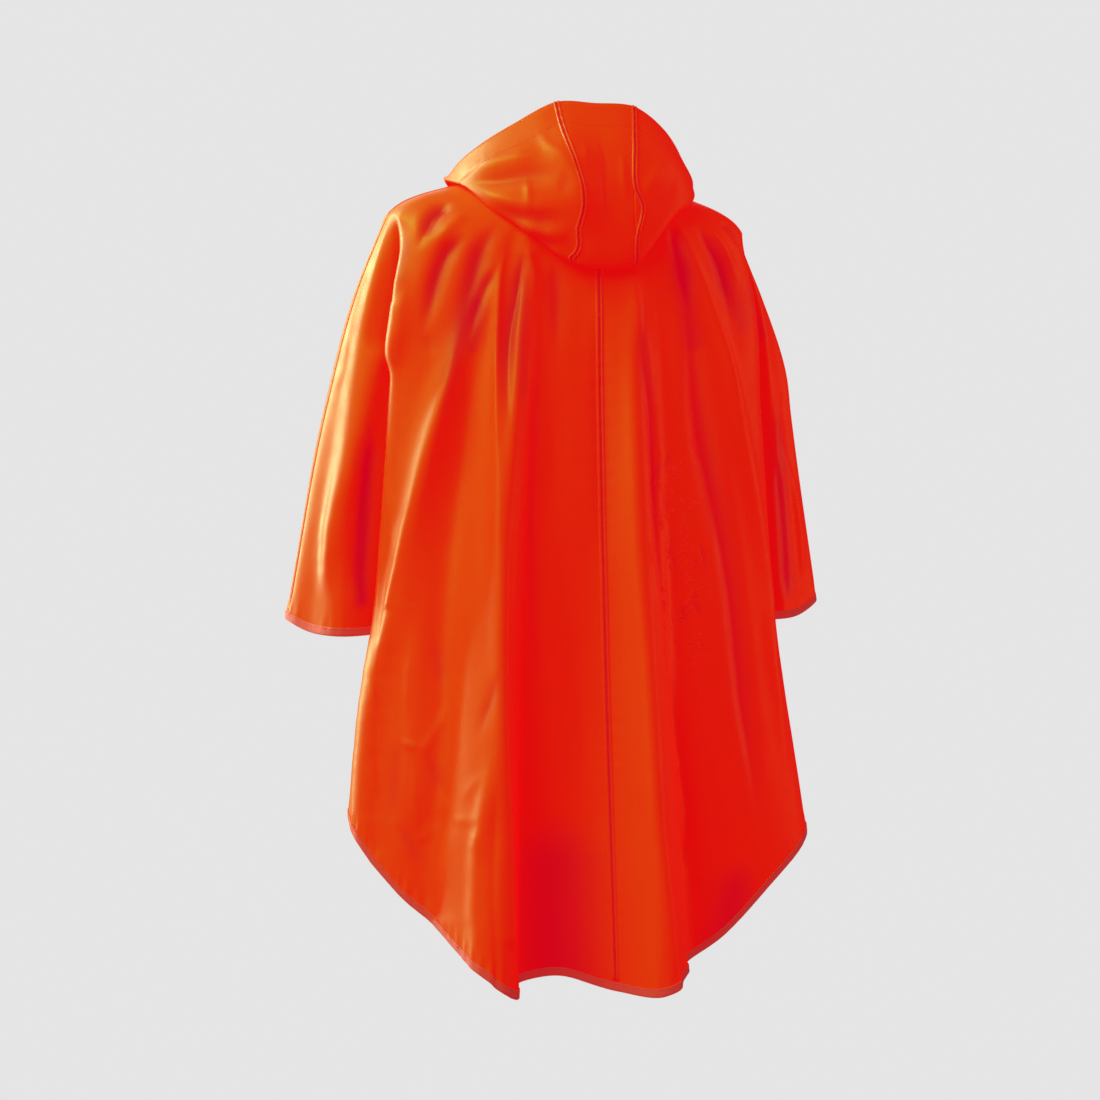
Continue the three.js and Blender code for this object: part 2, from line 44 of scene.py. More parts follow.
# yoke is the cloth's length from the neck to the shoulder's edge and from there to the armpit
cloth = dict(wall=1.2, rowSpacing=4.2, backSpacing=4.7, frontSpacing=8.0, hoodAround=20, hoodAlong=4,
             yoke=170, body=680, sleeve=270)
neck = dict(half=95, back=78, front=104, backDrop=8, frontDrop=58, gap=0.7)
shoulder = dict(middle=5, half=231, back=98, front=112, square=3, settle=5, roundness=0.65)
shoulderZ = dict(side=-58, back=-112, front=-140)
shoulderRoll = dict(side=75, back=90)
level = dict(arm=-140, elbow=-240, armpit=-290, cuff=-545)
bindingWidth = 10

# The stops of a fold line, by how many it has: what is given at the shoulder's edge and at each level.
bodyStops = {3: ("edge", "cuff", "hem"), 5: ("edge", "arm", "armpit", "cuff", "hem")}
sleeveStops = {4: ("edge", "arm", "armpit", "cuff"), 5: ("edge", "arm", "elbow", "armpit", "cuff")}


def foldLines(stops, rows):
    return [dict(zip(stops[len(places)], places), fold=fold, cut=cut) for fold, cut, *places in rows]


# Each row is one fold line: its name, the height of its cut, and its place in plan at each stop.
# A side line turns at the underarm point, where body and sleeve part.
backLines = foldLines(bodyStops, [
    ("side right", -806, (-224, 30), (-206, 6), (-190, -25), (-202, -32), (-302, -30)),
    ("turn right", -814, (-222, 36), (-229, 24), (-236, 6), (-254, -6), (-318, -8)),
    ("edge right", -826, (-216, 44), (-235, 40), (-251, 28), (-276, 18), (-323, 22)),
    ("crest right", -842, (-200, 64), (-216, 64), (-234, 58), (-256, 54), (-293, 70)),
    ("valley right", -884, (-154, 88), (-190, 94), (-232, 98)),
    ("hollow right", -940, (-108, 96), (-130, 100), (-165, 104)),
    ("foot right", -965, (-80, 97), (-92, 106), (-112, 114)),
    ("wall right", -960, (-64, 99), (-70, 132), (-76, 190)),
    ("ridge right", -974, (-44, 102), (-42, 148), (-26, 230)),
    ("centre back", -974, (1, 99), (3, 124), (14, 184)),
    ("hollow left", -962, (38, 97), (45, 119), (70, 136)),
    ("foot left", -964, (68, 96), (100, 122), (118, 140)),
    ("wall left", -963, (85, 98), (134, 156), (152, 218)),
    ("ridge left", -942, (98, 99), (150, 164), (184, 236)),
    ("dip left", -900, (112, 95), (186, 128), (224, 172)),
    ("slant left", -865, (129, 95), (232, 92), (254, 130)),
    ("crest left", -822, (208, 66), (222, 64), (235, 60), (255, 58), (280, 94)),
    ("edge left", -770, (226, 44), (238, 48), (248, 46), (267, 40), (297, 50)),
    ("turn left", -763, (232, 36), (229, 30), (236, 20), (256, 14), (286, 14)),
    ("side left", -762, (234, 30), (212, 6), (190, -25), (200, -32), (276, -24)),
])
frontLines = foldLines(bodyStops, [
    ("front side left", -762, (233, -30), (208, -42), (190, -25), (200, -32), (276, -24)),
    ("front turn left", -764, (229, -38), (220, -62), (212, -66), (226, -84), (258, -58)),
    ("front edge left", -772, (222, -48), (228, -84), (222, -104), (214, -128), (248, -92)),
    ("front crest left", -790, (206, -66), (212, -100), (206, -122), (196, -150), (230, -128)),
    ("front valley left", -836, (158, -96), (152, -148), (184, -150)),
    ("front ridge left", -878, (108, -108), (108, -178), (128, -206)),
    ("front dip left", -895, (54, -112), (58, -160), (70, -168)),
    ("centre front", -900, (0, -112), (0, -168), (0, -188)),
    ("front dip right", -895, (-52, -112), (-62, -160), (-78, -166)),
    ("front ridge right", -880, (-104, -108), (-118, -176), (-144, -204)),
    ("front valley right", -846, (-150, -96), (-168, -148), (-210, -150)),
    ("front crest right", -810, (-196, -66), (-208, -100), (-212, -120), (-228, -146), (-274, -124)),
    ("front edge right", -800, (-212, -48), (-224, -84), (-230, -102), (-248, -124), (-298, -90)),
    ("front turn right", -800, (-219, -38), (-214, -62), (-213, -66), (-232, -84), (-306, -58)),
    ("front side right", -806, (-223, -30), (-202, -42), (-190, -25), (-202, -32), (-302, -30)),
])
sleeveLeftLines = foldLines(sleeveStops, [
    ("side left", -557, (234, 30), (212, 6), (190, -25), (214, -46)),
    ("back inner left", -560, (235, 22), (236, 14), (226, 2), (246, -8)),
    ("back outer left", -560, (236, 12), (257, 10), (282, 12), (302, 14)),
    ("overarm back left", -556, (236, 5), (263, -4), (296, -10), (330, -20)),
    ("overarm left", -543, (236, -2), (266, -18), (304, -34), (349, -52)),
    ("front outer left", -554, (235, -14), (256, -52), (284, -84), (306, -122)),
    ("front inner left", -557, (234, -22), (236, -58), (232, -68), (250, -102)),
    ("front side left", -557, (233, -30), (208, -42), (190, -25), (214, -46)),
])
sleeveRightLines = foldLines(sleeveStops, [
    ("front side right", -553, (-223, -30), (-202, -42), (-190, -25), (-216, -46)),
    ("front inner right", -553, (-224, -22), (-230, -58), (-234, -68), (-256, -102)),
    ("front outer right", -548, (-225, -14), (-252, -52), (-284, -70), (-298, -82), (-322, -114)),
    ("overarm right", -535, (-226, -2), (-270, -8), (-314, -20), (-323, -24), (-371, -40)),
    ("overarm back right", -550, (-226, 5), (-264, 5), (-297, -4), (-305, -7), (-340, -18)),
    ("back outer right", -555, (-226, 12), (-252, 18), (-268, 16), (-276, 14), (-292, 12)),
    ("back inner right", -555, (-225, 22), (-232, 12), (-232, -8), (-250, -18)),
    ("side right", -553, (-224, 30), (-206, 6), (-190, -25), (-216, -46)),
])
# A ring of the hood: its reach left, right, back and front, how square it is, and the turns of its seams.
hoodRings = [
    ("neck", 95, 95, 78, 104, 2, (21, 21)),
    ("stand", 98, 98, 80, 108, 2, (20, 20)),
    ("crown", 107, 105, 89, 112, 2.1, (18, 17)),
    ("over", 120, 116, 98, 115, 2.3, (15, 14)),
    ("under", 140, 134, 104, 119, 2.8, (9.2, 8.7)),
    ("foldIn", 152, 143, 107, 121, 3, (8.2, 6.8)),
    ("fold", 157, 147, 114, 123, 3, (8, 6.6)),
    ("foldOut", 160, 149, 121, 125, 2.9, (8, 6.9)),
    ("belly", 159, 149, 127, 127, 2.6, (7.9, 8.2)),
    ("upper", 158, 154, 113, 130, 2.3, (12.1, 15.2)),
    ("rim", 156, 155, 82, 132, 2, (20, 18)),
]
# A place round the hood: its turn from the centre back, and its height on each ring from stand to rim.
hoodSides = [(158, -33, -26, -24, -23, -23, -24, -25, -26), (135, -14, -8, -8, -10, -13, -15, -17, -19),
             (112, 4, 10, 8, 3, -3, -6, -8, -10)]
hoodStations = [
    *((-turn, *heights) for turn, *heights in hoodSides),
    (-90, 12, 15, 10, 2, -9, -8, -7, -6),
    (-74, 11, 16, 9, -4, -20, -13, -4, 2),
    (-56, 10, 16, 8, -18, -37, -20, 3, 25),
    (-38, 10, 17, 6, -28, -54, -26, 16, 54),
    (-17, 10, 17, 3, -50, -115, -40, 28, 77),
    (0, 10, 17, 2, -56, -122, -44, 28, 77),
    (17, 10, 17, 3, -52, -118, -42, 27, 76),
    (38, 10, 17, 6, -36, -79, -34, 12, 49),
    (56, 10, 16, 8, -22, -52, -26, 2, 27),
    (74, 11, 16, 9, -4, -26, -16, -3, 8),
    (90, 12, 15, 10, 2, -11, -9, -8, -6),
    *hoodSides[::-1],
]
hoodHeights = ("stand", "crown", "over", "under", "fold", "belly", "upper", "rim")
hoodFront = (-42, -36, -33, -30, -28, -27, -27, -27)
hoodSpans = [1, 2, 2, 2, 2, 1, 1, 2, 2, 2]
hoodSeamTurn = 17
foldShare = 0.13


def raised(value, power):
    return np.sign(value) * np.abs(value) ** power


# the turn round the neck, from the centre back, of a place on the shoulder's edge
def turnOf(x, y):
    depth = np.where(y > 0, shoulder["back"], shoulder["front"])
    across = raised((x - shoulder["middle"]) / shoulder["half"], shoulder["square"] / 2)
    return np.arctan2(across, raised(y / depth, shoulder["square"] / 2))


def neckHeight(y):
    back = -neck["backDrop"] * (y / neck["back"]) ** 2
    front = -neck["frontDrop"] * (y / neck["front"]) ** 2
    return np.where(y > 0, back, front)


# the smooth shoulder form: share 0 is the neck opening, share 1 the edge where the cloth starts to hang
def yokePoint(turn, share):
    across, along = np.sin(turn), np.cos(turn)
    isBack = along > 0
    startX = neck["half"] * across
    startY = np.where(isBack, neck["back"], neck["front"]) * along
    startZ = neckHeight(startY)
    side = np.abs(across) ** shoulder["settle"]
    low = np.where(isBack, shoulderZ["back"], shoulderZ["front"])
    endX = shoulder["middle"] + shoulder["half"] * raised(across, 2 / shoulder["square"])
    endY = np.where(isBack, shoulder["back"], shoulder["front"]) * raised(along, 2 / shoulder["square"])
    endZ = low + (shoulderZ["side"] - low) * side
    roll = np.radians(shoulderRoll["back"] + (shoulderRoll["side"] - shoulderRoll["back"]) * side)
    out = np.sin(roll * share) / np.sin(roll)
    bent = (1 - np.cos(roll * share)) / (1 - np.cos(roll))
    straight = 1 - shoulder["roundness"] * out
    drop = out * straight + bent * (1 - straight)
    x = startX + (endX - startX) * out
    y = startY + (endY - startY) * out
    return np.stack([x, y, startZ + (endZ - startZ) * drop], axis=-1)


# a smooth curve through the values at the knots
def smoothAt(knots, values, places):
    knots, values = np.array(knots, float), np.array(values, float)
    gaps = np.diff(knots)
    rise = np.diff(values) / gaps
    slopes = np.empty(len(knots))
    slopes[0], slopes[-1] = rise[0], rise[-1]
    slopes[1:-1] = (rise[:-1] * gaps[1:] + rise[1:] * gaps[:-1]) / (gaps[:-1] + gaps[1:])
    i = np.clip(np.searchsorted(knots, places, side="right") - 1, 0, len(knots) - 2)
    t = (places - knots[i]) / gaps[i]
    hold = (1 - t) ** 2
    return (values[i] * (1 + 2 * t) * hold + slopes[i] * gaps[i] * t * hold
            + values[i + 1] * t * t * (3 - 2 * t) + slopes[i + 1] * gaps[i] * t * t * (t - 1))


def edgeHeight(line):
    return float(yokePoint(turnOf(*map(np.float64, line["edge"])), 1)[2])


def lineAt(line, z):
    upper = [(-edgeHeight(line), line["edge"])]
    upper += [(-level[name], line[name]) for name in ("arm", "elbow", "armpit") if name in line]
    lower = [(-line["cut"], line["cuff"])]
    if "hem" in line:
        lower = [(-level["cuff"], line["cuff"]), (-line["cut"], line["hem"])]
    curves = [upper + lower]
    if "side" in line["fold"]:
        curves = [upper, upper[-1:] + lower]
    made = []
    for stops in curves:
        knots = [stop[0] for stop in stops]
        x = smoothAt(knots, [stop[1][0] for stop in stops], -z)
        y = smoothAt(knots, [stop[1][1] for stop in stops], -z)
        made.append(np.stack([x, y, z], axis=-1))
    return np.where((z < level["armpit"])[:, None], made[-1], made[0])


def blend(first, second, start, stop, t):
    return first + (second - first) * (t - start) / (stop - start)


# a centripetal spline along the first axis, with a number of steps in each span
def splineThrough(points, steps):
    points = np.asarray(points, float)
    before, after = 2 * points[:1] - points[1:2], 2 * points[-1:] - points[-2:-1]
    knots = np.concatenate([before, points, after])
    made = []
    for i in range(len(points) - 1):
        p0, p1, p2, p3 = knots[i:i + 4]
        apart = [np.sqrt(np.maximum(np.linalg.norm(b - a, axis=-1, keepdims=True), 1e-6))
                 for a, b in ((p0, p1), (p1, p2), (p2, p3))]
        t1 = apart[0]
        t2 = t1 + apart[1]
        t3 = t2 + apart[2]
        made.append(p1)
        for j in range(1, steps[i]):
            t = t1 + (t2 - t1) * j / steps[i]
            a1, a2, a3 = blend(p0, p1, 0, t1, t), blend(p1, p2, t1, t2, t), blend(p2, p3, t2, t3, t)
            made.append(blend(blend(a1, a2, 0, t2, t), blend(a2, a3, t1, t3, t), t1, t2, t))
    made.append(points[-1])
    return np.array(made)


def shares(length):
    count = max(2, round(length / cloth["rowSpacing"]))
    return np.arange(1, count + 1) / count


# rows of points from the neck to the hem or the cuff, and the first column of each fold line
def hangingGrid(lines, spacing, lowerLength):
    stretches = []
    for line in lines:
        top, stop = edgeHeight(line), line["cut"] + bindingWidth
        upper = top + (level["armpit"] - top) * np.append(0, shares(cloth["yoke"]))
        lower = level["armpit"] + (stop - level["armpit"]) * shares(lowerLength)
        under = stop - bindingWidth * shares(bindingWidth)
        stretches.append(lineAt(line, np.concatenate([upper, lower, under])))
    stretches = np.array(stretches)
    widest = np.linalg.norm(np.diff(stretches, axis=0), axis=-1).max(axis=1)
    steps = np.maximum(2, np.ceil(widest / spacing).astype(int))
    hanging = splineThrough(stretches, steps)
    edge = hanging[:, 0]
    turn = turnOf(edge[:, 0], edge[:, 1])
    relief = edge - yokePoint(turn, 1)
    yoke = [yokePoint(turn, share) + relief * share ** 2
            for share in np.append(0, shares(cloth["yoke"])[:-1])]
    grid = np.concatenate([np.array(yoke), hanging.transpose(1, 0, 2)])
    return grid, dict(zip([line["fold"] for line in lines], np.append(0, np.cumsum(steps))))


# the turn of a hood station on a ring, moved so that the seams keep their own line
def ringTurn(turn, seams):
    size = abs(turn)
    if size >= 90:
        return math.radians(turn)
    seam = seams[1] if turn > 0 else seams[0]
    share = (size - hoodSeamTurn) / (90 - hoodSeamTurn)
    moved = size * seam / hoodSeamTurn if size < hoodSeamTurn else seam + (90 - seam) * share
    return math.radians(math.copysign(moved, turn))


def hoodPoint(station, ring):
    name, left, right, back, front, square, seams = ring
    height = dict(zip(hoodHeights, station[1:]))
    height["foldIn"] = height["fold"] + (height["under"] - height["fold"]) * foldShare
    height["foldOut"] = height["fold"] + (height["belly"] - height["fold"]) * foldShare
    turn = ringTurn(station[0], seams)
    isBack = math.cos(turn) > 0
    bend = 2 / square if isBack else 1
    x = (left if turn > 0 else right) * raised(math.sin(turn), bend)
    y = (back if isBack else front) * raised(math.cos(turn), bend)
    return [x, y, height.get(name, 0)]


# rows along the hood from the neck seam to the face edge, each once round from the front
def hoodGrid():
    around, along = cloth["hoodAround"], cloth["hoodAlong"]
    stations = [(-180, *hoodFront), *hoodStations, (180, *hoodFront)]
    rings = []
    for ring in hoodRings:
        points = np.array([hoodPoint(station, ring) for station in stations])
        points[0, 0] = 0
        points[-1] = points[0]
        made = splineThrough(points, [around] * (len(stations) - 1))
        if ring[0] == "neck":
            made[:, 2] = neck["gap"] + neckHeight(made[:, 1])
        rings.append(made)
    grid = splineThrough(rings, [max(1, round(along * steps)) for steps in hoodSpans])
    seams = [around * (1 + [one[0] for one in hoodStations].index(side * hoodSeamTurn)) for side in (-1, 1)]
    return grid, seams


backGrid, backFolds = hangingGrid(backLines, cloth["backSpacing"], cloth["body"])
frontGrid, frontFolds = hangingGrid(frontLines, cloth["frontSpacing"], cloth["body"])
leftGrid, leftFolds = hangingGrid(sleeveLeftLines, cloth["backSpacing"], cloth["sleeve"])
rightGrid, rightFolds = hangingGrid(sleeveRightLines, cloth["backSpacing"], cloth["sleeve"])
hoodRows, hoodSeams = hoodGrid()
centreBack = backFolds["centre back"]
overarmLeft = leftFolds["overarm left"]
overarmRight = rightFolds["overarm right"]


def labels(grid, *parts):
    names = np.empty(grid.shape[1] - 1, object)
    for start, name in parts:
        names[start:] = name
    return names


blocks = dict(
    back=(backGrid, labels(backGrid, (0, "back_right"), (centreBack, "back_left"))),
    front=(frontGrid, labels(frontGrid, (0, "front"))),
    left=(leftGrid, labels(leftGrid, (0, "back_left"), (overarmLeft, "front"))),
    right=(rightGrid, labels(rightGrid, (0, "front"), (overarmRight, "back_right"))),
    hood=(hoodRows, labels(hoodRows, (0, "hood_right"), (hoodSeams[0], "hood_centre"),
                           (hoodSeams[1], "hood_left"))),
)


# the whole garment as one welded sheet: its points, its quads, the panel of each, and each block's indices
def weld(blocks):
    everything = np.concatenate([grid.reshape(-1, 3) for grid, _ in blocks.values()])
    _, first, place = np.unique(np.round(everything, 3), axis=0, return_index=True, return_inverse=True)
    place = place.reshape(-1)
    grids, quads, panels, start = {}, [], [], 0
    for name, (grid, names) in blocks.items():
        index = place[start:start + grid.shape[0] * grid.shape[1]].reshape(grid.shape[:2])
        start += index.size
        grids[name] = index
        corners = [index[:-1, :-1], index[:-1, 1:], index[1:, 1:], index[1:, :-1]]
        quads.append(np.stack(corners, axis=-1).reshape(-1, 4))
        panels.append(np.broadcast_to(names, (index.shape[0] - 1, len(names))).reshape(-1))
    return everything[first], np.concatenate(quads), np.concatenate(panels), grids


def unit(vectors):
    return vectors / np.linalg.norm(vectors, axis=-1, keepdims=True)


def lengthAlong(line):
    return np.append(0, np.cumsum(np.linalg.norm(np.diff(line, axis=0), axis=1)))


def normalsOf(points, quads):
    a, b, c, d = (points[quads[:, k]] for k in range(4))
    facing = np.cross(c - a, d - b)
    total = np.zeros_like(points)
    for k in range(4):
        np.add.at(total, quads[:, k], facing)
    return total / np.maximum(np.linalg.norm(total, axis=1, keepdims=True), 1e-12)


form, quads, panelNames, grids = weld(blocks)
formNormals = normalsOf(form, quads)
print("cloth form:", len(form), "points")


# Folds, gathers and creases, drawn as seen from behind, or from in front where side is -1. sharp is how sharp
# the sections are, top and foot the shares of the length that fade out there, scale goes with the depths and
# deepen is the share of painted shade that a trough gets in its colour. Each row is a depth in mm, below 0 in
# a trough, a half width in mm, then the path: the x and the drop below the shoulders where it starts, and its
# steps in x and down.
hemFolds = dict(side=1, sharp=2, top=0.3, foot=0.02, scale=1, troughShade=0, rows=[
    (14, 20, 129, 104, 9, 21, 15, 27, 11, 27, 11, 38, 10, 42, 12, 41, 14, 53, 13, 59, 14, 65, 11, 53,
     13, 53, 11, 58, 9, 58, 4, 35, 6, 66, 6, 70),
    (3, 7, 153, 152, 12, 27, 12, 38, 11, 42, 13, 41, 14, 53, 13, 59, 13, 65, 12, 53),
    (-16, 24, 124, 152, 15, 27, 12, 32, 9, 32, 8, 45, 8, 59, 10, 59, 10, 70, 6, 46, 6, 57, 5, 57, 5, 57,
     7, 56, 10, 57, 4, 60, 4, 70),
    (5, 10, 112, 98, 10, 30, 6, 42, 6, 95, 6, 82, 5, 82, 2, 69, 4, 79, 4, 112, -1, 78, 3, 88, 0, 55),
    (4, 10, 170, 678, 10, 55, 10, 56, 7, 44, 3, 57, 4, 60),
    (-4, 8, 165, 711, 8, 65, 6, 55, 1, 59, 4, 70),
    (7, 13, -35, 135, -1, 67, 1, 61, 1, 84, 1, 84, -1, 71, -3, 83, 1, 116, 1, 80, -4, 68, -3, 57, -4, 104),
    (-3.5, 9, -65, 164, -2, 98, 0, 85, -1, 84, -4, 73, -12, 85, -18, 124, -14, 86, 32, 101, -8, 80),
    (-5, 20, 81, 795, -4, 59, -9, 59, -6, 47, -4, 50),
])
mainFolds = dict(side=1, sharp=2, top=0.3, foot=0.3, scale=1, troughShade=0.05, rows=[
    (-10, 15, -108, 116, -14, 71, -8, 74, -11, 61, -17, 74, -16, 75, -11, 62, -7, 62, -7, 62, -9, 63,
     -8, 63, -8, 56),
    (7, 15, -146, 114, -24, 84, -19, 74, -16, 62, -18, 63, -17, 76, -9, 51, -2, 76, -10, 63, -6, 63,
     -5, 63),
    (-3, 11, 3, 166, -2, 97, 0, 84, 0, 84, 0, 83),
    (-3, 10, 78, 168, 8, 120, 8, 118, -1, 118, -1, 118),
])
shoulderGathers = dict(side=1, sharp=1.7, top=0.25, foot=0.5, scale=1.5, troughShade=0.12, rows=[
    (-3.3, 6, 128, 120, 13, 23, 11, 26, 9, 28, 7, 32),
    (2.7, 9, 152, 140, 14, 30, 11, 36, 6, 35, 7, 47, 14, 59, 14, 59, 14, 70),
    (2.7, 6, 116, 98, 9, 26, 4, 28, 2, 30, 2, 35, 2, 48, 4, 71, 4, 70),
    (-5, 9, 172, 43, 25, 19, 13, 22, 10, 22),
    (2, 7, 160, 57, 27, 25, 18, 24),
    (-5, 9, 162, 82, 24, 26, 12, 29, 8, 33, 11, 41),
    (-4.8, 11, 122, 66, 25, 36, 10, 35, 9, 35, 13, 47, 9, 41, 8, 60),
    (-4.5, 9, 92, 90, 12, 46, 8, 32, 9, 41, 5, 51, 1, 70),
    (2.4, 8, 94, 92, -6, 36, -12, 32),
    (-2.1, 9, 60, 112, -4, 38, 2, 80),
    (-4.2, 11, -96, 62, -14, 42, -8, 36, -6, 45),
    (3.9, 10, -104, 50, -17, 49, -20, 41, -21, 53, -22, 53, -20, 64),
    (-3.9, 10, -136, 60, -29, 43, -12, 39, -9, 48),
    (3.6, 10, -148, 58, -34, 44, -21, 33),
    (-2.7, 7, -180, 50, -19, 19, -13, 19),
    (-3.3, 9, -52, 124, -1, 41, 1, 49, -8, 72, -4, 61, 0, 60, -5, 73, -11, 61, -4, 48),
    (3, 10, -42, 112, -2, 44, -12, 72, -10, 63, -11, 59),
])
longFolds = dict(side=1, sharp=2, top=0.35, foot=0.35, scale=1, troughShade=0, rows=[
    (2.4, 13, 110, 230, 16, 100, 20, 100, 12, 110, 7, 100),
    (-1.8, 12, 60, 280, 16, 140, 8, 140, -4, 140),
    (1.2, 9, 84, 480, -10, 98, -10, 92, -7, 113),
    (-1, 7, 50, 560, -6, 40, -11, 70, -3, 70),
    (-1.6, 10, -110, 240, -18, 90, -18, 100, -14, 90),
    (1.4, 11, -92, 300, -12, 120, -14, 140, -10, 140, -10, 120),
    (-1.4, 12, -150, 560, -20, 120, -14, 120),
    (1.6, 12, -186, 300, -28, 120, -22, 120, -16, 120),
    (-1.2, 9, 232, 420, 11, 80, 9, 90, 10, 100),
    (1.4, 9, 251, 370, -1, 20, -4, 35, -2, 45),
    (1.8, 10, 214, 560, 10, 100, 12, 100, 4, 60),
    (-1.6, 9, 250, 800, -10, 50, -9, 28),
])
leftCrumples = dict(side=1, sharp=1.3, top=0.4, foot=0.4, scale=2.2, troughShade=0.15, rows=[
    (1.1, 4.5, 204, 618, 7, 25, 11, 25, 9, 17, 12, 23),
    (0.9, 4, 211, 625, 3, 35, 2, 32, 6, 62),
    (-0.9, 5, 231, 685, -5, 27, -7, 32),
    (0.8, 4, 256, 676, -12, 8, -13, 1),
    (-0.8, 6, 249, 662, 8, 38, 5, 45, 4, 39),
    (0.9, 5, 241, 699, 2, 41, 2, 50),
    (1, 4, 214, 738, 4, 10, 6, 16),
    (0.8, 4.5, 274, 700, 1, 25, -2, 25),
    (0.8, 6, 236, 556, 7, 54, 5, 52),
    (-0.7, 6, 218, 552, -4, 38, -3, 35),
    (-1, 7, 154, 588, 8, 24, 10, 28, 14, 36),
    (0.8, 5, 214, 765, -14, -1, -17, -4),
    (0.9, 6, 186, 770, 6, 18, 7, 18),
    (0.7, 6, 178, 706, 12, 18, 13, 21),
    (-0.7, 5, 216, 200, -8, 14, -8, 15),
    (0.8, 5, 270, 600, -4, 50, 2, 50),
    (-0.8, 5, 259, 770, -8, 30, -8, 24),
    (0.7, 5, 229, 768, 9, 18, 13, 10),
])
rightCrumples = dict(side=1, sharp=1.3, top=0.4, foot=0.4, scale=1.8, troughShade=0.3, rows=[
    (0.8, 4, -76, 325, -1, 33, 6, 34, 7, 28),
    (-0.7, 4, -104, 336, 16, 14, 11, 12, 17, 22),
    (0.8, 4, -95, 360, 3, 25, 4, 41),
    (-0.7, 3.5, -77, 380, -3, 18, -2, 32),
    (1.2, 4, -125, 448, -5, 16, -6, 16, -6, 16),
    (-0.9, 3.5, -132, 452, -6, 18, -6, 20),
    (0.7, 4, -50, 440, -2, 30, 2, 16),
    (0.8, 3.5, -112, 408, 5, 16, -7, 12, -8, 16),
    (0.8, 3.5, -126, 504, -14, 13, -22, 26),
    (-0.8, 3.5, -124, 512, -6, 22, -14, 7),
    (0.7, 3.5, -153, 536, -3, 14, -1, 14),
    (0.8, 3.5, -140, 590, -5, 13, -7, 11),
    (-0.6, 3.5, -98, 436, 6, 16, -4, 22, -8, 14),
    (0.6, 3.5, -116, 470, 8, 16, -4, 18),
    (0.6, 3.5, -138, 556, 8, 16, -6, 16),
    (-0.6, 3.5, -104, 520, -6, 20, 6, 16),
    (0.7, 5, -108, 708, 7, 20, 8, 22),
    (0.7, 6, -124, 878, -9, -10, -11, -10),
    (0.6, 4, -64, 500, -6, 20, 2, 25),
])
sleeveFolds = dict(side=1, sharp=2, top=0.3, foot=0.2, scale=1, troughShade=0.05, rows=[
    (-5, 9, -273, 333, -15, 45, -9, 59, -5, 65, -2, 39),
    (4, 8, -290, 320, -31, 65, -14, 66, -4, 73),
    (9, 16, 241, 95, -1, 60, 4, 48, 13, 42, 10, 42, 15, 60, 18, 60, 12, 71, 7, 48),
    (-5, 9, 253, 311, 9, 48, 7, 48, 5, 72, 2, 47),
    (-1.6, 7, 236, 142, 3, 13, 4, 15),
    (1.2, 9, 297, 330, 6, 45, 6, 45, 2, 45, 0, 65),
    (-1, 6, 273, 322, 5, 23, 3, 25),
    (1.6, 8, -306, 246, 16, 44, 9, 40, 0, 100, 5, 100),
    (1.6, 10, -256, 150, -9, 48, -5, 70, -6, 42),
    (-1.4, 8, -300, 262, -10, 38, -8, 50),
    (-1.2, 7, -248, 128, -4, 22, -4, 22),
    (0.9, 6, 286, 200, 4, 35, 10, 35),
    (-0.8, 6, 282, 420, 4, 50, 6, 50),
])
hoodFolds = dict(side=1, sharp=1.7, top=0.4, foot=0.4, scale=2.4, troughShade=0.06, rows=[
    (5.4, 28, 48, -59, 1, 49, -9, 43, -7, 35, 2, 29),
    (2.5, 12, 159, 9, -15, -4, -26, -8, -32, -6, -24, -1),
    (2, 10, 157, 22, -17, 16, -33, 14, -36, 3, -24, -4),
    (-2, 9, 157, 20, -26, 2, -32, -4, -35, 0, -16, -1),
    (-1.75, 9, 135, 49, -29, 17, -35, 4, -24, -3),
    (2, 9, 116, 69, -28, 11, -30, 4, -14, 2),
    (-1.5, 8, 106, 83, -30, 13, -18, 9),
    (0.9, 4, 99, 18, -1, 16, -1, 24),
    (1.2, 6, 78, -40, -6, 18, -14, 18, -10, 12),
    (-1, 5, 66, 36, -8, -6, -10, -10),
    (0.8, 6, 84, 84, -18, 4, -20, -4),
    (1, 7, -40, 38, -20, -23, -24, -23),
    (-0.9, 8, -50, 54, -28, -20, -24, -34),
    (0.8, 6, 31, -24, -2, 16, 4, 16),
    (-0.7, 6, 8, -40, -4, 40, 4, 40, -8, 40),
    (0.8, 5, -22, -14, 4, 24, -6, 30),
])
frontFolds = dict(side=-1, sharp=1.8, top=0.3, foot=0.4, scale=1, troughShade=0.08, rows=[
    (2.4, 11, 88, 70, 14, 60, 16, 60, 6, 90),
    (-2.2, 10, 110, 62, 24, 48, 22, 50, 8, 70),
    (2.4, 10, 132, 54, 32, 38, 28, 48, 11, 60),
    (-1.8, 9, 160, 48, 28, 26, 22, 38),
    (-1.8, 10, 66, 84, 8, 66, 8, 80),
    (2.2, 11, -84, 70, -14, 60, -12, 60, -8, 90),
    (-2.4, 10, -106, 62, -22, 48, -20, 55, -12, 75),
    (2.2, 10, -128, 54, -32, 40, -24, 46, -12, 65),
    (-1.6, 9, -156, 48, -24, 26, -22, 36),
    (-1.8, 10, -62, 84, -8, 66, -6, 80),
    (1.4, 12, 30, 240, -6, 160, 6, 160, 6, 140),
    (-1.4, 12, -24, 300, -6, 150, 2, 170, -6, 140),
    (1.2, 10, 150, 380, -4, 120, 10, 120, 4, 110),
    (-1.2, 9, -150, 360, -14, 140, -12, 140),
    (0.9, 5, 96, 470, 16, 26, -8, 34, 12, 30),
    (-0.8, 5, 60, 600, 14, 20, -4, 30),
    (0.8, 5, -90, 520, -14, 28, 6, 32, -12, 22),
    (0.8, 5, -60, 680, -16, 20, 4, 30),
    (1, 6, 180, 560, 16, 40, -6, 40),
    (-1, 6, -196, 600, -18, 36, 4, 34),
])
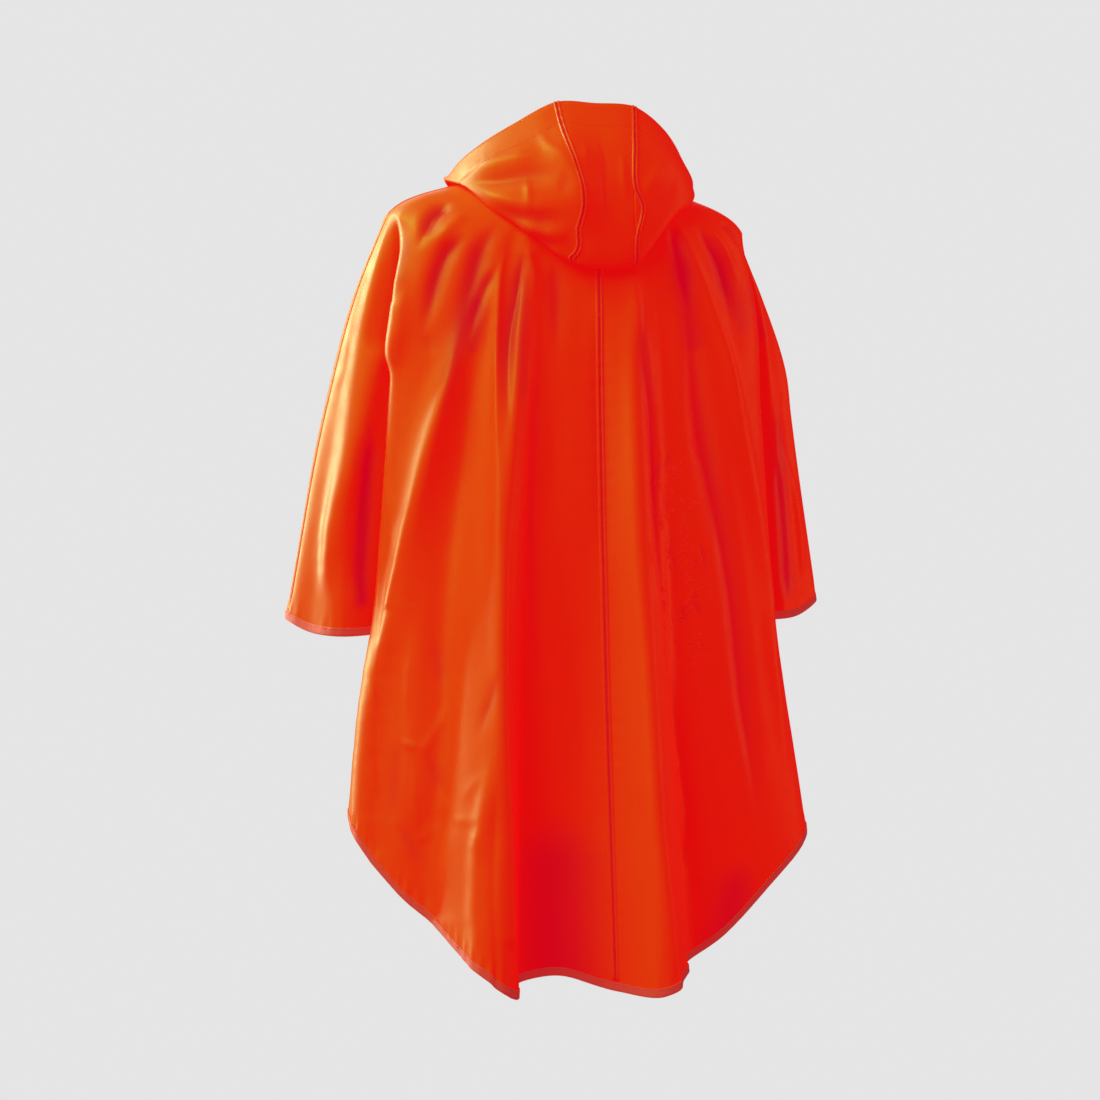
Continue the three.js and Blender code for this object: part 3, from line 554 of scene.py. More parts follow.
foldKinds = (hemFolds, mainFolds, shoulderGathers, longFolds, leftCrumples, rightCrumples,
             sleeveFolds, hoodFolds, frontFolds)

# Places where the cloth lies deep and gets painted shade, its colour darkened there: a share, a half width
# and a path as above.
shadedHollows = [
    (1, 9, 265, 287, 1, 48, 2, 72, 3, 72, 1, 60),
    (0.7, 46, 68, 761, 1, 82, -1, 70, -6, 87),
    (0.7, 26, -190, 842, 9, 49, 12, 42, 9, 57),
    (0.75, 15, -283, 255, -10, 78, -7, 78, -6, 78, -3, 53),
    (0.45, 15, -99, 79, -6, 37, -11, 46, -14, 62),
    (0.5, 17, -144, 82, -22, 31, -22, 34, -23, 49),
    (0.5, 7, 157, 152, -6, 30, 12, 47),
    (0.4, 9, 224, 80, 7, 30, 7, 36),
    (0.4, 14, -202, 110, -26, 41, -41, 48),
    (0.35, 10, 98, 124, 7, 81, 1, 83),
]

hoodPart = np.zeros(len(form), bool)
hoodPart[grids["hood"]] = True
# the hood's rows run upwards from the neck, so its outside is the other face of the wall
form[hoodPart] -= formNormals[hoodPart] * cloth["wall"]
formNormals[hoodPart] *= -1
hoodQuads = hoodPart[quads[:, 0]]
quads[hoodQuads] = quads[hoodQuads][:, ::-1]
height = np.zeros(len(form))


# a path is draped in small steps on the cloth near it, and stays within a few mm of the nearest point's depth
drape = dict(steps=6, near=7, most=6)


def drapePath(path, seen, side):
    stops = np.cumsum(np.reshape(path, (-1, 1, 2)) * (1, -1), axis=0)
    flat = splineThrough(stops, [drape["steps"]] * (len(stops) - 1))[:, 0]
    index = np.where(seen)[0]
    places = form[index]
    made = []
    for x, z in flat:
        away = np.hypot(places[:, 0] - x, places[:, 2] - z)
        close = np.where(away < max(drape["near"], away.min() + 1))[0]
        i = index[close[(side * places[close, 1]).argmax()]]
        point, normal = form[i], formNormals[i]
        y = point[1] - (normal[0] * (x - point[0]) + normal[2] * (z - point[2])) / normal[1]
        made.append((x, np.clip(y, point[1] - drape["most"], point[1] + drape["most"]), z))
    return np.array(made)


# the distance of each point from a path, and how far along the path it lies, from 0 to 1
def fromPath(places, path):
    starts, runs = path[:-1], np.diff(path, axis=0)
    lengths = np.maximum((runs ** 2).sum(axis=1), 1e-9)
    gone = np.append(0, np.cumsum(np.sqrt(lengths)))
    nearest = np.full(len(places), np.inf)
    along = np.zeros(len(places))
    for start, run, length, before in zip(starts, runs, lengths, gone):
        t = np.clip(((places - start) @ run) / length, 0, 1)
        away = np.linalg.norm(places - start - t[:, None] * run, axis=1)
        closer = away < nearest
        nearest[closer] = away[closer]
        along[closer] = before + t[closer] * math.sqrt(length)
    return nearest, along / gone[-1]


# how strongly a path is felt at each point of a part: the points in reach and their shares
def reachOf(path, seen, part, width, side, sharp, top, foot):
    line = drapePath(path, seen, side)
    box = np.clip(form, line.min(axis=0), line.max(axis=0))
    inReach = part & (np.abs(form - box).max(axis=1) < 3 * width)
    away, along = fromPath(form[inReach], line)
    fade = np.clip(np.minimum(along / top, (1 - along) / foot), 0, 1)
    fade = fade * fade * (3 - 2 * fade)
    across = away / (width * (0.6 + 0.4 * fade))
    return inReach, fade * np.exp(-across ** sharp)


# painted shade: a map that darkens the cloth's colour and glow in the troughs of folds and in the places
# listed above
hollow = np.zeros(len(form))
facing = formNormals[:, 1]
for kind in foldKinds:
    part = hoodPart if kind is hoodFolds else ~hoodPart
    seen = part & (facing * kind["side"] > 0.1)
    for depth, width, *path in kind["rows"]:
        shape = [kind[key] for key in ("side", "sharp", "top", "foot")]
        inReach, felt = reachOf(path, seen, part, width, *shape)
        height[inReach] += depth * kind["scale"] * felt
        hollow[inReach] += max(0, -depth * kind["scale"] * kind["troughShade"]) * felt
for share, width, *path in shadedHollows:
    inReach, felt = reachOf(path, ~hoodPart & (facing > 0.1), ~hoodPart, width, 1, 2, 0.3, 0.1)
    hollow[inReach] += share * felt
hollow = np.clip(hollow, 0, 1)
print("folds drawn:", sum(len(kind["rows"]) for kind in foldKinds))

# a patch of the right back that is finely crushed: its middle and half sizes in x and z
crushed = dict(x=-104, z=-470, wide=40, tall=125)
crush = np.exp(-((form[:, 0] - crushed["x"]) / crushed["wide"]) ** 4
               - ((form[:, 2] - crushed["z"]) / crushed["tall"]) ** 4) * (facing > 0.1)

# the cloth's own faint unevenness, longer down the cloth than across it
uneven = dict(deep=0.55, fine=0.16, across=52, down=190, fineAcross=17, fineDown=46)
for i, (x, y, z) in enumerate(form):
    low = noise.noise(Vector((x / uneven["across"], y / uneven["across"], z / uneven["down"])))
    high = noise.noise(Vector((x / uneven["fineAcross"], y / uneven["fineAcross"],
                               z / uneven["fineDown"] + 9)))
    height[i] += uneven["deep"] * low + uneven["fine"] * high


# how far each point of a grid lies from a column, along its row
def fromColumn(source, grid, column):
    steps = np.linalg.norm(np.diff(source[grid], axis=1), axis=2)
    run = np.pad(np.cumsum(steps, axis=1), ((0, 0), (1, 0)))
    return run - run[:, column:column + 1]


def fromRow(source, grid, row):
    return fromColumn(source, grid.T, row).T


# small puckers that a line of sewing draws up: away is the distance from it and run the place along it
puckers = dict(wander=3.2, wanderPitch=2.6, strength=0.7, swing=1.5, swingPitch=5, least=0.1, most=1.6)


def pucker(index, away, run, depth, pitch, reach, seed):
    wander, swing = (np.array([noise.noise(Vector((one / (pitch * puckers[key]), seed + more, z)))
                               for one in run.ravel()]).reshape(run.shape)
                     for key, more, z in (("wanderPitch", 0, 0), ("swingPitch", 7, 3)))
    phase = 2 * np.pi * run / pitch + puckers["wander"] * wander
    size = depth * np.clip(puckers["strength"] + puckers["swing"] * swing, puckers["least"], puckers["most"])
    height[index.ravel()] += (size * np.cos(phase) * np.exp(-(away / reach) ** 2)).ravel()


sewing = dict(hoodHem=37, hemPucker=1.5, hemPitch=15, cuffPucker=1.0, cuffPitch=12,
              hoodPucker=0.8, hoodPitch=14, backPucker=0.22, backPitch=21)
hood = grids["hood"]
hoodDown = np.abs(fromRow(form, hood, len(hood) - 1))
for seam, seed in zip(hoodSeams, (3, 11)):
    near = slice(seam - 14, seam + 15)
    pucker(hood[:, near], fromColumn(form, hood, seam)[:, near], hoodDown[:, near],
           sewing["hoodPucker"], sewing["hoodPitch"], 9, seed)
back = grids["back"]
backRun = fromRow(form, back, 0)
near = slice(centreBack - 8, centreBack + 9)
pucker(back[:, near], fromColumn(form, back, centreBack)[:, near], backRun[:, near],
       sewing["backPucker"], sewing["backPitch"], 14, 5)
# the hood's face edge is turned in, so it is a little thicker down to its line of stitches
turned = np.clip((sewing["hoodHem"] + 1.2 - hoodDown) / 2.4, 0, 1)
height[hood.ravel()] += (0.45 * turned - 0.35 * np.exp(-((hoodDown - sewing["hoodHem"]) / 2.2) ** 2)).ravel()


# loops of grid columns round the hem and the cuffs, each from its top row down to the cut edge
def edgeBand(*parts):
    rows = 12
    return np.concatenate([part[-rows:, :-1] for part in parts], axis=1)


bands = dict(hem=edgeBand(grids["back"], grids["front"]), cuffLeft=edgeBand(grids["left"]),
             cuffRight=edgeBand(grids["right"]))
for name, depth, pitch, seed in (("hem", sewing["hemPucker"], sewing["hemPitch"], 21),
                                 ("cuffLeft", sewing["cuffPucker"], sewing["cuffPitch"], 31),
                                 ("cuffRight", sewing["cuffPucker"], sewing["cuffPitch"], 41)):
    band = bands[name]
    up = np.abs(fromRow(form, band, len(band) - 1))
    edge = form[band[-1]]
    run = lengthAlong(edge)
    strength = depth * np.where(edge[:, 0] > 120, 1, 0.55)
    pucker(band, up - bindingWidth - 2, np.broadcast_to(run, up.shape), strength, pitch, 10, seed)

points = form + formNormals * height[:, None]
normals = normalsOf(points, quads)
print("creases and puckers:", round(float(height.min()), 1), "to", round(float(height.max()), 1), "mm")


# a link of one node, so that sums of values can be written as sums
class Wire:
    def __init__(self, nodes, socket):
        self.nodes, self.socket = nodes, socket

    def __add__(self, other):
        return self.nodes.maths("ADD", self, other)

    def __sub__(self, other):
        return self.nodes.maths("SUBTRACT", self, other)

    def __rsub__(self, other):
        return self.nodes.maths("SUBTRACT", other, self)

    def __mul__(self, other):
        return self.nodes.maths("MULTIPLY", self, other)

    __radd__ = __add__
    __rmul__ = __mul__


class Nodes:
    def __init__(self, tree):
        self.tree = tree
        self.tree.nodes.clear()

    def socketOf(self, sockets, key):
        if isinstance(key, int):
            return sockets[key]
        return next(one for one in sockets if key in (one.identifier, one.name))

    # a node of a type: its settings first, then the values or links of its sockets
    def add(self, kind, settings=None, sockets=None, out=0):
        node = self.tree.nodes.new(kind)
        for key, value in (settings or {}).items():
            setattr(node, key, value)
        for key, value in (sockets or {}).items():
            socket = self.socketOf(node.inputs, key)
            if isinstance(value, Wire):
                self.tree.links.new(value.socket, socket)
            else:
                socket.default_value = value
        return Wire(self, self.socketOf(node.outputs, out)) if len(node.outputs) else None

    def maths(self, operation, first, second):
        return self.add("ShaderNodeMath", {"operation": operation}, {0: first, 1: second})

    def mix(self, share, first, second):
        return self.add("ShaderNodeMix", {"data_type": "RGBA"},
                        {"Factor_Float": share, "A_Color": first, "B_Color": second}, "Result_Color")

    def noise(self, where, scale, detail, roughness, stretch=(1, 1, 1)):
        placed = self.add("ShaderNodeMapping", {}, {"Vector": where, "Scale": stretch})
        return self.add("ShaderNodeTexNoise", {}, {"Vector": placed, "Scale": scale, "Detail": detail,
                                                   "Roughness": roughness}, "Fac")

    # a value moved from one range to another, and kept inside it
    def spread(self, value, low, high, start=0.0, stop=1.0):
        return self.add("ShaderNodeMapRange", {"clamp": True}, {"Value": value, "From Min": low,
                        "From Max": high, "To Min": start, "To Max": stop}, "Result")

    def bump(self, height, depth, under=None):
        sockets = {"Height": height, "Distance": depth, "Strength": 1.0}
        if under:
            sockets["Normal"] = under
        return self.add("ShaderNodeBump", {}, sockets, "Normal")

    def coat(self, sockets):
        surface = self.add("ShaderNodeBsdfPrincipled", {}, sockets)
        self.add("ShaderNodeOutputMaterial", {}, {"Surface": surface})


def newMaterial(name):
    material = bpy.data.materials.new(name)
    material.use_nodes = True
    return material, Nodes(material.node_tree)


# tones are linear; the glow is painted light, there for the look alone, and keeps the red at one level in
# light and shade; the darker hollow tone and glow are painted shade
fabric = dict(tone=(0.03, 0.088, 0.0006, 1), deepTone=(0.03, 0.068, 0.0006, 1),
              shadeTone=(0.02, 0.006, 0.003, 1), glow=(1.0, 0.0024, 0.0045, 1),
              shadeGlow=(0.84, 0.0003, 0.018, 1), glowStrength=0.735, rough=0.42, roughest=0.52,
              tint=(0.06, 1.0, 0.22, 1), specular=0.40, broadScale=9, patchScale=38, grainScale=900,
              grainDepth=0.00002, waveScale=34, waveDepth=0.0007, crushScale=85, crushDepth=0.0022)


def coatedCloth():
    material, nodes = newMaterial("coated_cloth")
    where = nodes.add("ShaderNodeTexCoord", out="Object")
    shadeMap = nodes.add("ShaderNodeAttribute", {"attribute_name": "hollow"}, out="Fac")
    crushing = nodes.add("ShaderNodeAttribute", {"attribute_name": "crush"}, out="Fac")
    broad = nodes.noise(where, fabric["broadScale"], 3, 0.55, (1, 1, 0.5))
    patch = nodes.noise(where, fabric["patchScale"], 3, 0.6)
    grain = nodes.noise(where, fabric["grainScale"], 2, 0.6)
    waves = nodes.noise(where, fabric["waveScale"], 4, 0.55, (1, 1, 0.6))
    ripple = nodes.noise(where, fabric["crushScale"], 3, 0.6, (1, 1, 0.7))
    crease = nodes.add("ShaderNodeMath", {"operation": "ABSOLUTE"}, {0: ripple - 0.5})
    crease = nodes.spread(crease, 0.0, 0.05, 1.0, 0.0) * nodes.spread(patch, 0.5, 0.62) * crushing
    bumps = nodes.bump(waves + crease * (fabric["crushDepth"] / fabric["waveDepth"]), fabric["waveDepth"])
    bumps = nodes.bump(grain, fabric["grainDepth"], bumps)
    tone = nodes.mix(nodes.spread(broad * 0.6 + patch * 0.4, 0.35, 0.65), fabric["tone"],
                     fabric["deepTone"])
    # painted shade: the hollow map and the creases of the crushed patch turn the tone and the glow darker
    depth = nodes.spread(shadeMap + crease * 0.35, 0.0, 1.0)
    tone = nodes.mix(depth, tone, fabric["shadeTone"])
    glow = nodes.mix(depth, fabric["glow"], fabric["shadeGlow"])
    rough = nodes.spread(patch, 0.3, 0.7, fabric["rough"], fabric["roughest"])
    nodes.coat({"Base Color": tone, "Roughness": rough, "Normal": bumps,
                "Specular IOR Level": fabric["specular"], "Specular Tint": fabric["tint"],
                "Emission Color": glow, "Emission Strength": fabric["glowStrength"]})
    return material


# painted light: glow and glowStrength make the tape glow though it is no lamp
tape = dict(wall=0.9, gap=0.3, start=1.75, soft=0.35, legs=[2.0, 2.7, 4, 6, 8.2], stitches=(3.4, 1.3),
            tone=(0.24, 0.13, 0.10, 1), deepTone=(0.20, 0.06, 0.05, 1),
            glow=(1.0, 0.035, 0.04, 1), glowStrength=0.50, rough=0.72, specular=0.35,
            ribPitch=1.5, weftPitch=0.9, ribDepth=0.00022)


# matt woven tape: ribs across it, read from a UV map laid in millimetres
def wovenTape():
    material, nodes = newMaterial("woven_tape")
    where = nodes.add("ShaderNodeUVMap", {"uv_map": "run"}, out="UV")
    along = nodes.add("ShaderNodeSeparateXYZ", {}, {"Vector": where}, "X")
    across = Wire(nodes, along.socket.node.outputs["Y"])
    rib = nodes.add("ShaderNodeMath", {"operation": "SINE"}, {0: along * (2 * math.pi / tape["ribPitch"])})
    weft = nodes.add("ShaderNodeMath", {"operation": "SINE"}, {0: across * (2 * math.pi / tape["weftPitch"])})
    worn = nodes.noise(where, 0.09, 3, 0.6)
    weave = rib * 0.5 + 0.5 + weft * 0.18
    bumps = nodes.bump(weave, tape["ribDepth"])
    # the tape's colour is darker in the grooves of its weave, which is painted shade, and also varies at
    # random
    tone = nodes.mix(nodes.spread(weave * 0.7 + worn * 0.5, 0.2, 0.95), tape["deepTone"], tape["tone"])
    nodes.coat({"Base Color": tone, "Roughness": tape["rough"], "Normal": bumps,
                "Specular IOR Level": tape["specular"], "Sheen Weight": 0.25, "Sheen Roughness": 0.5,
                "Emission Color": tape["glow"], "Emission Strength": tape["glowStrength"]})
    return material


# painted light: the thread's emission makes it glow a little though it is no lamp
def threadSheen():
    material, nodes = newMaterial("sewing_thread")
    where = nodes.add("ShaderNodeTexCoord", out="Object")
    twist = nodes.noise(where, 1400, 1, 0.5)
    tone = nodes.mix(twist, (0.55, 0.075, 0.03, 1), (0.45, 0.03, 0.012, 1))
    nodes.coat({"Base Color": tone, "Roughness": 0.5, "Normal": nodes.bump(twist, 0.00006),
                "Emission Color": (1.0, 0.03, 0.02, 1), "Emission Strength": 0.3})
    return material


clothFinish = coatedCloth()
tapeFinish = wovenTape()
threadFinish = threadSheen()
print("materials made")


def newObject(name, data):
    made = bpy.data.objects.new(name, data)
    bpy.context.scene.collection.objects.link(made)
    return made


def makePiece(name, places, faces, finish, closed=False, maps=None):
    mesh = bpy.data.meshes.new(name)
    mesh.from_pydata((np.asarray(places) * mm).tolist(), [], [list(map(int, face)) for face in faces])
    mesh.update()
    for key, values in (maps or {}).items():
        mesh.attributes.new(key, "FLOAT", "POINT").data.foreach_set("value", np.array(values, float))
    if closed:
        whole = bmesh.new()
        whole.from_mesh(mesh)
        bmesh.ops.recalc_face_normals(whole, faces=whole.faces)
        whole.to_mesh(mesh)
        whole.free()
    mesh.shade_smooth()
    mesh.materials.append(finish)
    return newObject(name, mesh)


# the size in metres of a cloth that each panel is cut from, and its own flat area in square metres
cuts = dict(
    back_left=dict(flat=(0.56, 1.00), area=0.43), back_right=dict(flat=(0.56, 1.00), area=0.43),
    front=dict(flat=(1.12, 0.95), area=0.72), hood_left=dict(flat=(0.24, 0.42), area=0.051),
    hood_centre=dict(flat=(0.12, 0.40), area=0.030), hood_right=dict(flat=(0.24, 0.42), area=0.045))


def makePanel(name):
    faces = quads[panelNames == name]
    used, local = np.unique(faces, return_inverse=True)
    piece = makePiece(name + "_cloth", points[used], local.reshape(-1, 4), clothFinish,
                      maps=dict(hollow=hollow[used], crush=crush[used]))
    wall = piece.modifiers.new("wall", "SOLIDIFY")
    wall.thickness = cloth["wall"] * mm
    wall.offset = -1
    wall.use_even_offset = False
    wall.use_quality_normals = True
    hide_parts(name)
    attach(piece, "root")


for name in cuts:
    makePanel(name)
print("panels made:", len(cuts))


# one seam as a low welt that follows the cloth: index is a band of the grid, column the seam in it
def seamBand(index, column, profile, wander, stitchPlace):
    run = fromColumn(points, index, column) - wander[:, None]
    across, over = (np.array([one[k] for one in profile]) for k in (0, 1))
    rings = bandPoints(index, run, across, over)
    s, h = (np.array([one]) for one in stitchPlace)
    return rings, (bandPoints(index, run, s, h)[:, 0], bandNormals(index, run, s)[:, 0])


def between(values, index, run, places):
    made = np.empty((len(index), len(places), 3))
    for row in range(len(index)):
        for axis in range(3):
            made[row, :, axis] = np.interp(places, run[row], values[index[row], axis])
    return made


def bandNormals(index, run, places):
    return unit(between(normals, index, run, places))


def bandPoints(index, run, places, heights):
    return between(points, index, run, places) + bandNormals(index, run, places) * heights[:, None]


def sweep(rings, closedRun=False):
    rows, count = rings.shape[:2]
    faces = []
    for row in range(rows if closedRun else rows - 1):
        here, after = row * count, (row + 1) % rows * count
        faces += [(here + k, here + (k + 1) % count, after + (k + 1) % count, after + k)
                  for k in range(count)]
    if not closedRun:
        faces += [list(range(count))[::-1], [(rows - 1) * count + k for k in range(count)]]
    return rings.reshape(-1, 3), faces


# sections of the seams: a distance across, a height over the cloth and a share of painted shade, highest in
# the grooves
felledProfile = [(-4.6, -0.5, 0), (-4.3, 0.15, 0.3), (-3.3, 0.5, 0.1), (-2.3, 1.15, 0), (-1.5, 1.25, 0),
                 (-0.8, 0.6, 0.6), (-0.2, 0.1, 1), (1.3, 0.1, 1), (2.0, 0.6, 0.5), (2.9, 0.95, 0),
                 (4.2, 0.75, 0), (5.6, 0.2, 0), (6.0, -0.5, 0), (6.0, -1.7, 0), (-4.6, -1.7, 0)]
hoodProfile = [(-4.2, -0.5, 0), (-3.9, 0.3, 0.4), (-3.2, 1.2, 0), (-2.4, 1.6, 0), (-1.6, 1.2, 0.1),
               (-0.9, 0.3, 0.9), (0, 0.05, 1), (0.9, 0.3, 0.9), (1.6, 1.3, 0.1), (2.4, 1.7, 0),
               (3.2, 1.3, 0), (3.9, 0.3, 0.4), (4.2, -0.5, 0), (4.2, -1.6, 0), (-4.2, -1.6, 0)]
armpitRow = 2 * len(shares(cloth["yoke"]))
tapeRow = -3
reach = 9
back, front, left, right = (grids[name] for name in ("back", "front", "left", "right"))


def joined(first, second):
    return np.concatenate([first[:, -reach:], second[:, 1:reach]], axis=1)[armpitRow:]


def aroundSeam(index, column):
    return index[:, column - reach + 1:column + reach]


seams = dict(centre_back=aroundSeam(back, centreBack), overarm_left=aroundSeam(left, overarmLeft),
             overarm_right=aroundSeam(right, overarmRight), side_left=joined(back, front),
             side_right=joined(front, back), underarm_left=joined(left, left),
             underarm_right=joined(right, right), hood_right=aroundSeam(hood, hoodSeams[0]),
             hood_left=aroundSeam(hood, hoodSeams[1]))
# kinks of the hood's seams: how far each goes aside, the share of the seam it is at, and its length
kinks = dict(hood_right=[(-13, 0.74, 0.035)], hood_left=[(4, 0.706, 0.02), (8, 0.62, 0.03)])
stitchPaths = []
for name, index in seams.items():
    profile, stitchPlace = hoodProfile, (0, 0.15)
    if not name.startswith("hood"):
        profile, stitchPlace, index = felledProfile, (0.5, 0.2), index[:tapeRow + 1]
    along = np.linspace(0, 1, len(index))
    wander = sum((aside * np.exp(-((along - at) / length) ** 2) for aside, at, length in kinks.get(name, [])),
                 0 * along)
    rings, paths = seamBand(index, reach - 1, profile, wander, stitchPlace)
    stitchPaths.append(paths)
    places, faces = sweep(rings)
    shade = np.tile([one[2] for one in profile], len(rings))
    piece = makePiece("seam_" + name, places, faces, clothFinish, closed=True,
                      maps=dict(hollow=shade, crush=0 * shade))
    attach(piece, "root")
print("seams made:", len(seams))

# the rows of stitches round the hood's face edge, and how far below it they run
upHood = hood.T[:-1, ::-1]
upRun = np.abs(fromRow(points, hood, len(hood) - 1)).T[:-1, ::-1]
for down in (2.2, sewing["hoodHem"]):
    down, rise = np.array([down]), np.array([0.1])
    rows = bandPoints(upHood, upRun, down, rise)[:, 0], bandNormals(upHood, upRun, down)[:, 0]
    stitchPaths.append(tuple(np.concatenate([row, row[:1]]) for row in rows))


# the section of the folded tape, as a distance down the cloth and a height over it
def tapeSection():
    outer, inner = [], []
    middle, turnsAt = -cloth["wall"] / 2, bindingWidth + tape["gap"]
    half = cloth["wall"] / 2 + tape["gap"]
    top = half + tape["wall"]
    for turn in np.linspace(90, -90, 9):
        along, up = math.cos(math.radians(turn)), math.sin(math.radians(turn))
        outer.append((turnsAt + top * along, middle + top * up))
        inner.append((turnsAt + half * along, middle + half * up))
    start, soft, legs = tape["start"], tape["soft"], tape["legs"]
    outside = [(start, middle + top - soft)] + [(one, middle + top) for one in legs] + outer
    outside += [(one, middle - top) for one in reversed(legs)] + [(start, middle - top + soft)]
    inside = [(start, middle - half)] + inner[::-1] + [(start, middle + half)]
    return outside + inside


def makeBinding(name, band):
    top, cut = band[tapeRow], band[-1]
    down = unit(points[cut] - points[top])
    up = normals[top] + normals[cut]
    up = unit(up - down * (up * down).sum(axis=1, keepdims=True))
    section = tapeSection()
    rings = np.array([points[top] + down * s + up * h for s, h in section]).transpose(1, 0, 2)
    places, faces = sweep(rings, closedRun=True)
    piece = makePiece(name + "_tape", places, faces, tapeFinish, closed=True)
    layRun(piece, lengthAlong(points[cut]), section)
    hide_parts(name)
    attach(piece, "root")
    edge = points[top] + down * tape["stitches"][0] + up * tape["stitches"][1]
    stitchPaths.append((np.concatenate([edge, edge[:1]]), np.concatenate([up, up[:1]])))


# a UV map in millimetres: along the tape, and round its section
def layRun(piece, run, section):
    count = len(section)
    around = lengthAlong(section)
    layer = piece.data.uv_layers.new(name="run")
    end = run[-1] + run[1]
    values = []
    for face in piece.data.polygons:
        rows = [vertex // count for vertex in face.vertices]
        wraps = max(rows) - min(rows) > 1
        for vertex, row in zip(face.vertices, rows):
            values += [end if wraps and row == 0 else run[row], around[vertex % count]]
    layer.data.foreach_set("uv", values)


makeBinding("hem_binding", bands["hem"])
makeBinding("cuff_binding_left", bands["cuffLeft"])
makeBinding("cuff_binding_right", bands["cuffRight"])
print("bindings made")


stitch = dict(pitch=4.0, length=2.9, thick=0.5, sides=6, uneven=0.12, seed=4,
              profile=[(-1, -0.45, 0.55), (-0.72, 0.02, 1), (0.72, 0.02, 1), (1, -0.45, 0.55)])


# one stitch: a thread that comes up, lies along X and goes down again. Its profile is a share of half the
# length, a height and a share of the thickness.
def stitchShape():
    half, radius, sides = stitch["length"] / 2, stitch["thick"] / 2, stitch["sides"]
    rings = [[(share * half, size * radius * math.cos(2 * math.pi * k / sides),
               up + size * radius * math.sin(2 * math.pi * k / sides)) for k in range(sides)]
             for share, up, size in stitch["profile"]]
    places, faces = sweep(np.array(rings))
    return makePiece("stitch_shape", places, faces, threadFinish, closed=True)


def stitchTree(shape):
    tree = bpy.data.node_groups.new("stitch_rows", "GeometryNodeTree")
    face = tree.interface
    sizes = {"Stitch pitch": ("Float", stitch["pitch"] * mm), "Uneven size": ("Float", stitch["uneven"]),
             "Seed": ("Int", stitch["seed"])}
    face.new_socket("Geometry", in_out="INPUT", socket_type="NodeSocketGeometry")
    inputs = {face.new_socket(name, in_out="INPUT", socket_type="NodeSocket" + kind).identifier: value
              for name, (kind, value) in sizes.items()}
    face.new_socket("Geometry", in_out="OUTPUT", socket_type="NodeSocketGeometry")
    nodes = Nodes(tree)
    start = nodes.add("NodeGroupInput", out="Geometry")
    named = {one.name: Wire(nodes, one) for one in start.socket.node.outputs}
    curve = nodes.add("GeometryNodeMeshToCurve", {}, {"Mesh": start}, "Curve")
    rows = nodes.add("GeometryNodeResampleCurve", {"mode": "LENGTH"},
                     {"Curve": curve, "Length": named["Stitch pitch"]}, "Curve")
    tangent = nodes.add("GeometryNodeInputTangent", out="Tangent")
    up = nodes.add("GeometryNodeInputNamedAttribute", {"data_type": "FLOAT_VECTOR"}, {"Name": "up"},
                   "Attribute")
    turned = nodes.add("FunctionNodeAlignRotationToVector", {"axis": "X"}, {"Vector": tangent}, "Rotation")
    turned = nodes.add("FunctionNodeAlignRotationToVector", {"axis": "Z", "pivot_axis": "X"},
                       {"Rotation": turned, "Vector": up}, "Rotation")
    item = nodes.add("GeometryNodeObjectInfo", {}, {"Object": shape}, "Geometry")
    low = 1 - named["Uneven size"]
    size = nodes.add("FunctionNodeRandomValue", {"data_type": "FLOAT"},
                     {"Min_001": low, "Max_001": 1.0, "Seed": named["Seed"]}, "Value_001")
    placed = nodes.add("GeometryNodeInstanceOnPoints", {},
                       {"Points": rows, "Instance": item, "Rotation": turned, "Scale": size}, "Instances")
    real = nodes.add("GeometryNodeRealizeInstances", {}, {"Geometry": placed}, "Geometry")
    finished = nodes.add("GeometryNodeSetMaterial", {}, {"Geometry": real, "Material": threadFinish},
                         "Geometry")
    nodes.add("NodeGroupOutput", {}, {"Geometry": finished})
    return tree, inputs


def makeStitches():
    places = np.concatenate([path for path, _ in stitchPaths])
    ups = np.concatenate([up for _, up in stitchPaths])
    starts = np.cumsum([0] + [len(path) for path, _ in stitchPaths])
    edges = [(i, i + 1) for a, b in zip(starts[:-1], starts[1:]) for i in range(a, b - 1)]
    mesh = bpy.data.meshes.new("stitch_rows")
    mesh.from_pydata((places * mm).tolist(), edges, [])
    mesh.attributes.new("up", "FLOAT_VECTOR", "POINT").data.foreach_set("vector", ups.ravel())
    rows = newObject("stitch_rows", mesh)
    shape = stitchShape()
    tree, inputs = stitchTree(shape)
    repeat = rows.modifiers.new("stitches", "NODES")
    repeat.node_group = tree
    for identifier, value in inputs.items():
        repeat[identifier] = value
    view = bpy.context.evaluated_depsgraph_get()
    made = bpy.data.meshes.new_from_object(rows.evaluated_get(view))
    rows.modifiers.remove(repeat)
    bpy.data.objects.remove(rows)
    bpy.data.objects.remove(shape)
    made.name = "stitches"
    piece = newObject("stitches", made)
    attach(piece, "root")
    return piece


stitches = makeStitches()
print("stitches made:", len(stitches.data.polygons), "faces")

# studio: a plain pale floor that curves up all round, a large warm light at the left, weak fill
studio = dict(floor=-1.35, flat=2.6, reach=9.0, rise=6.5, turn=6, sides=72, grey=0.783)


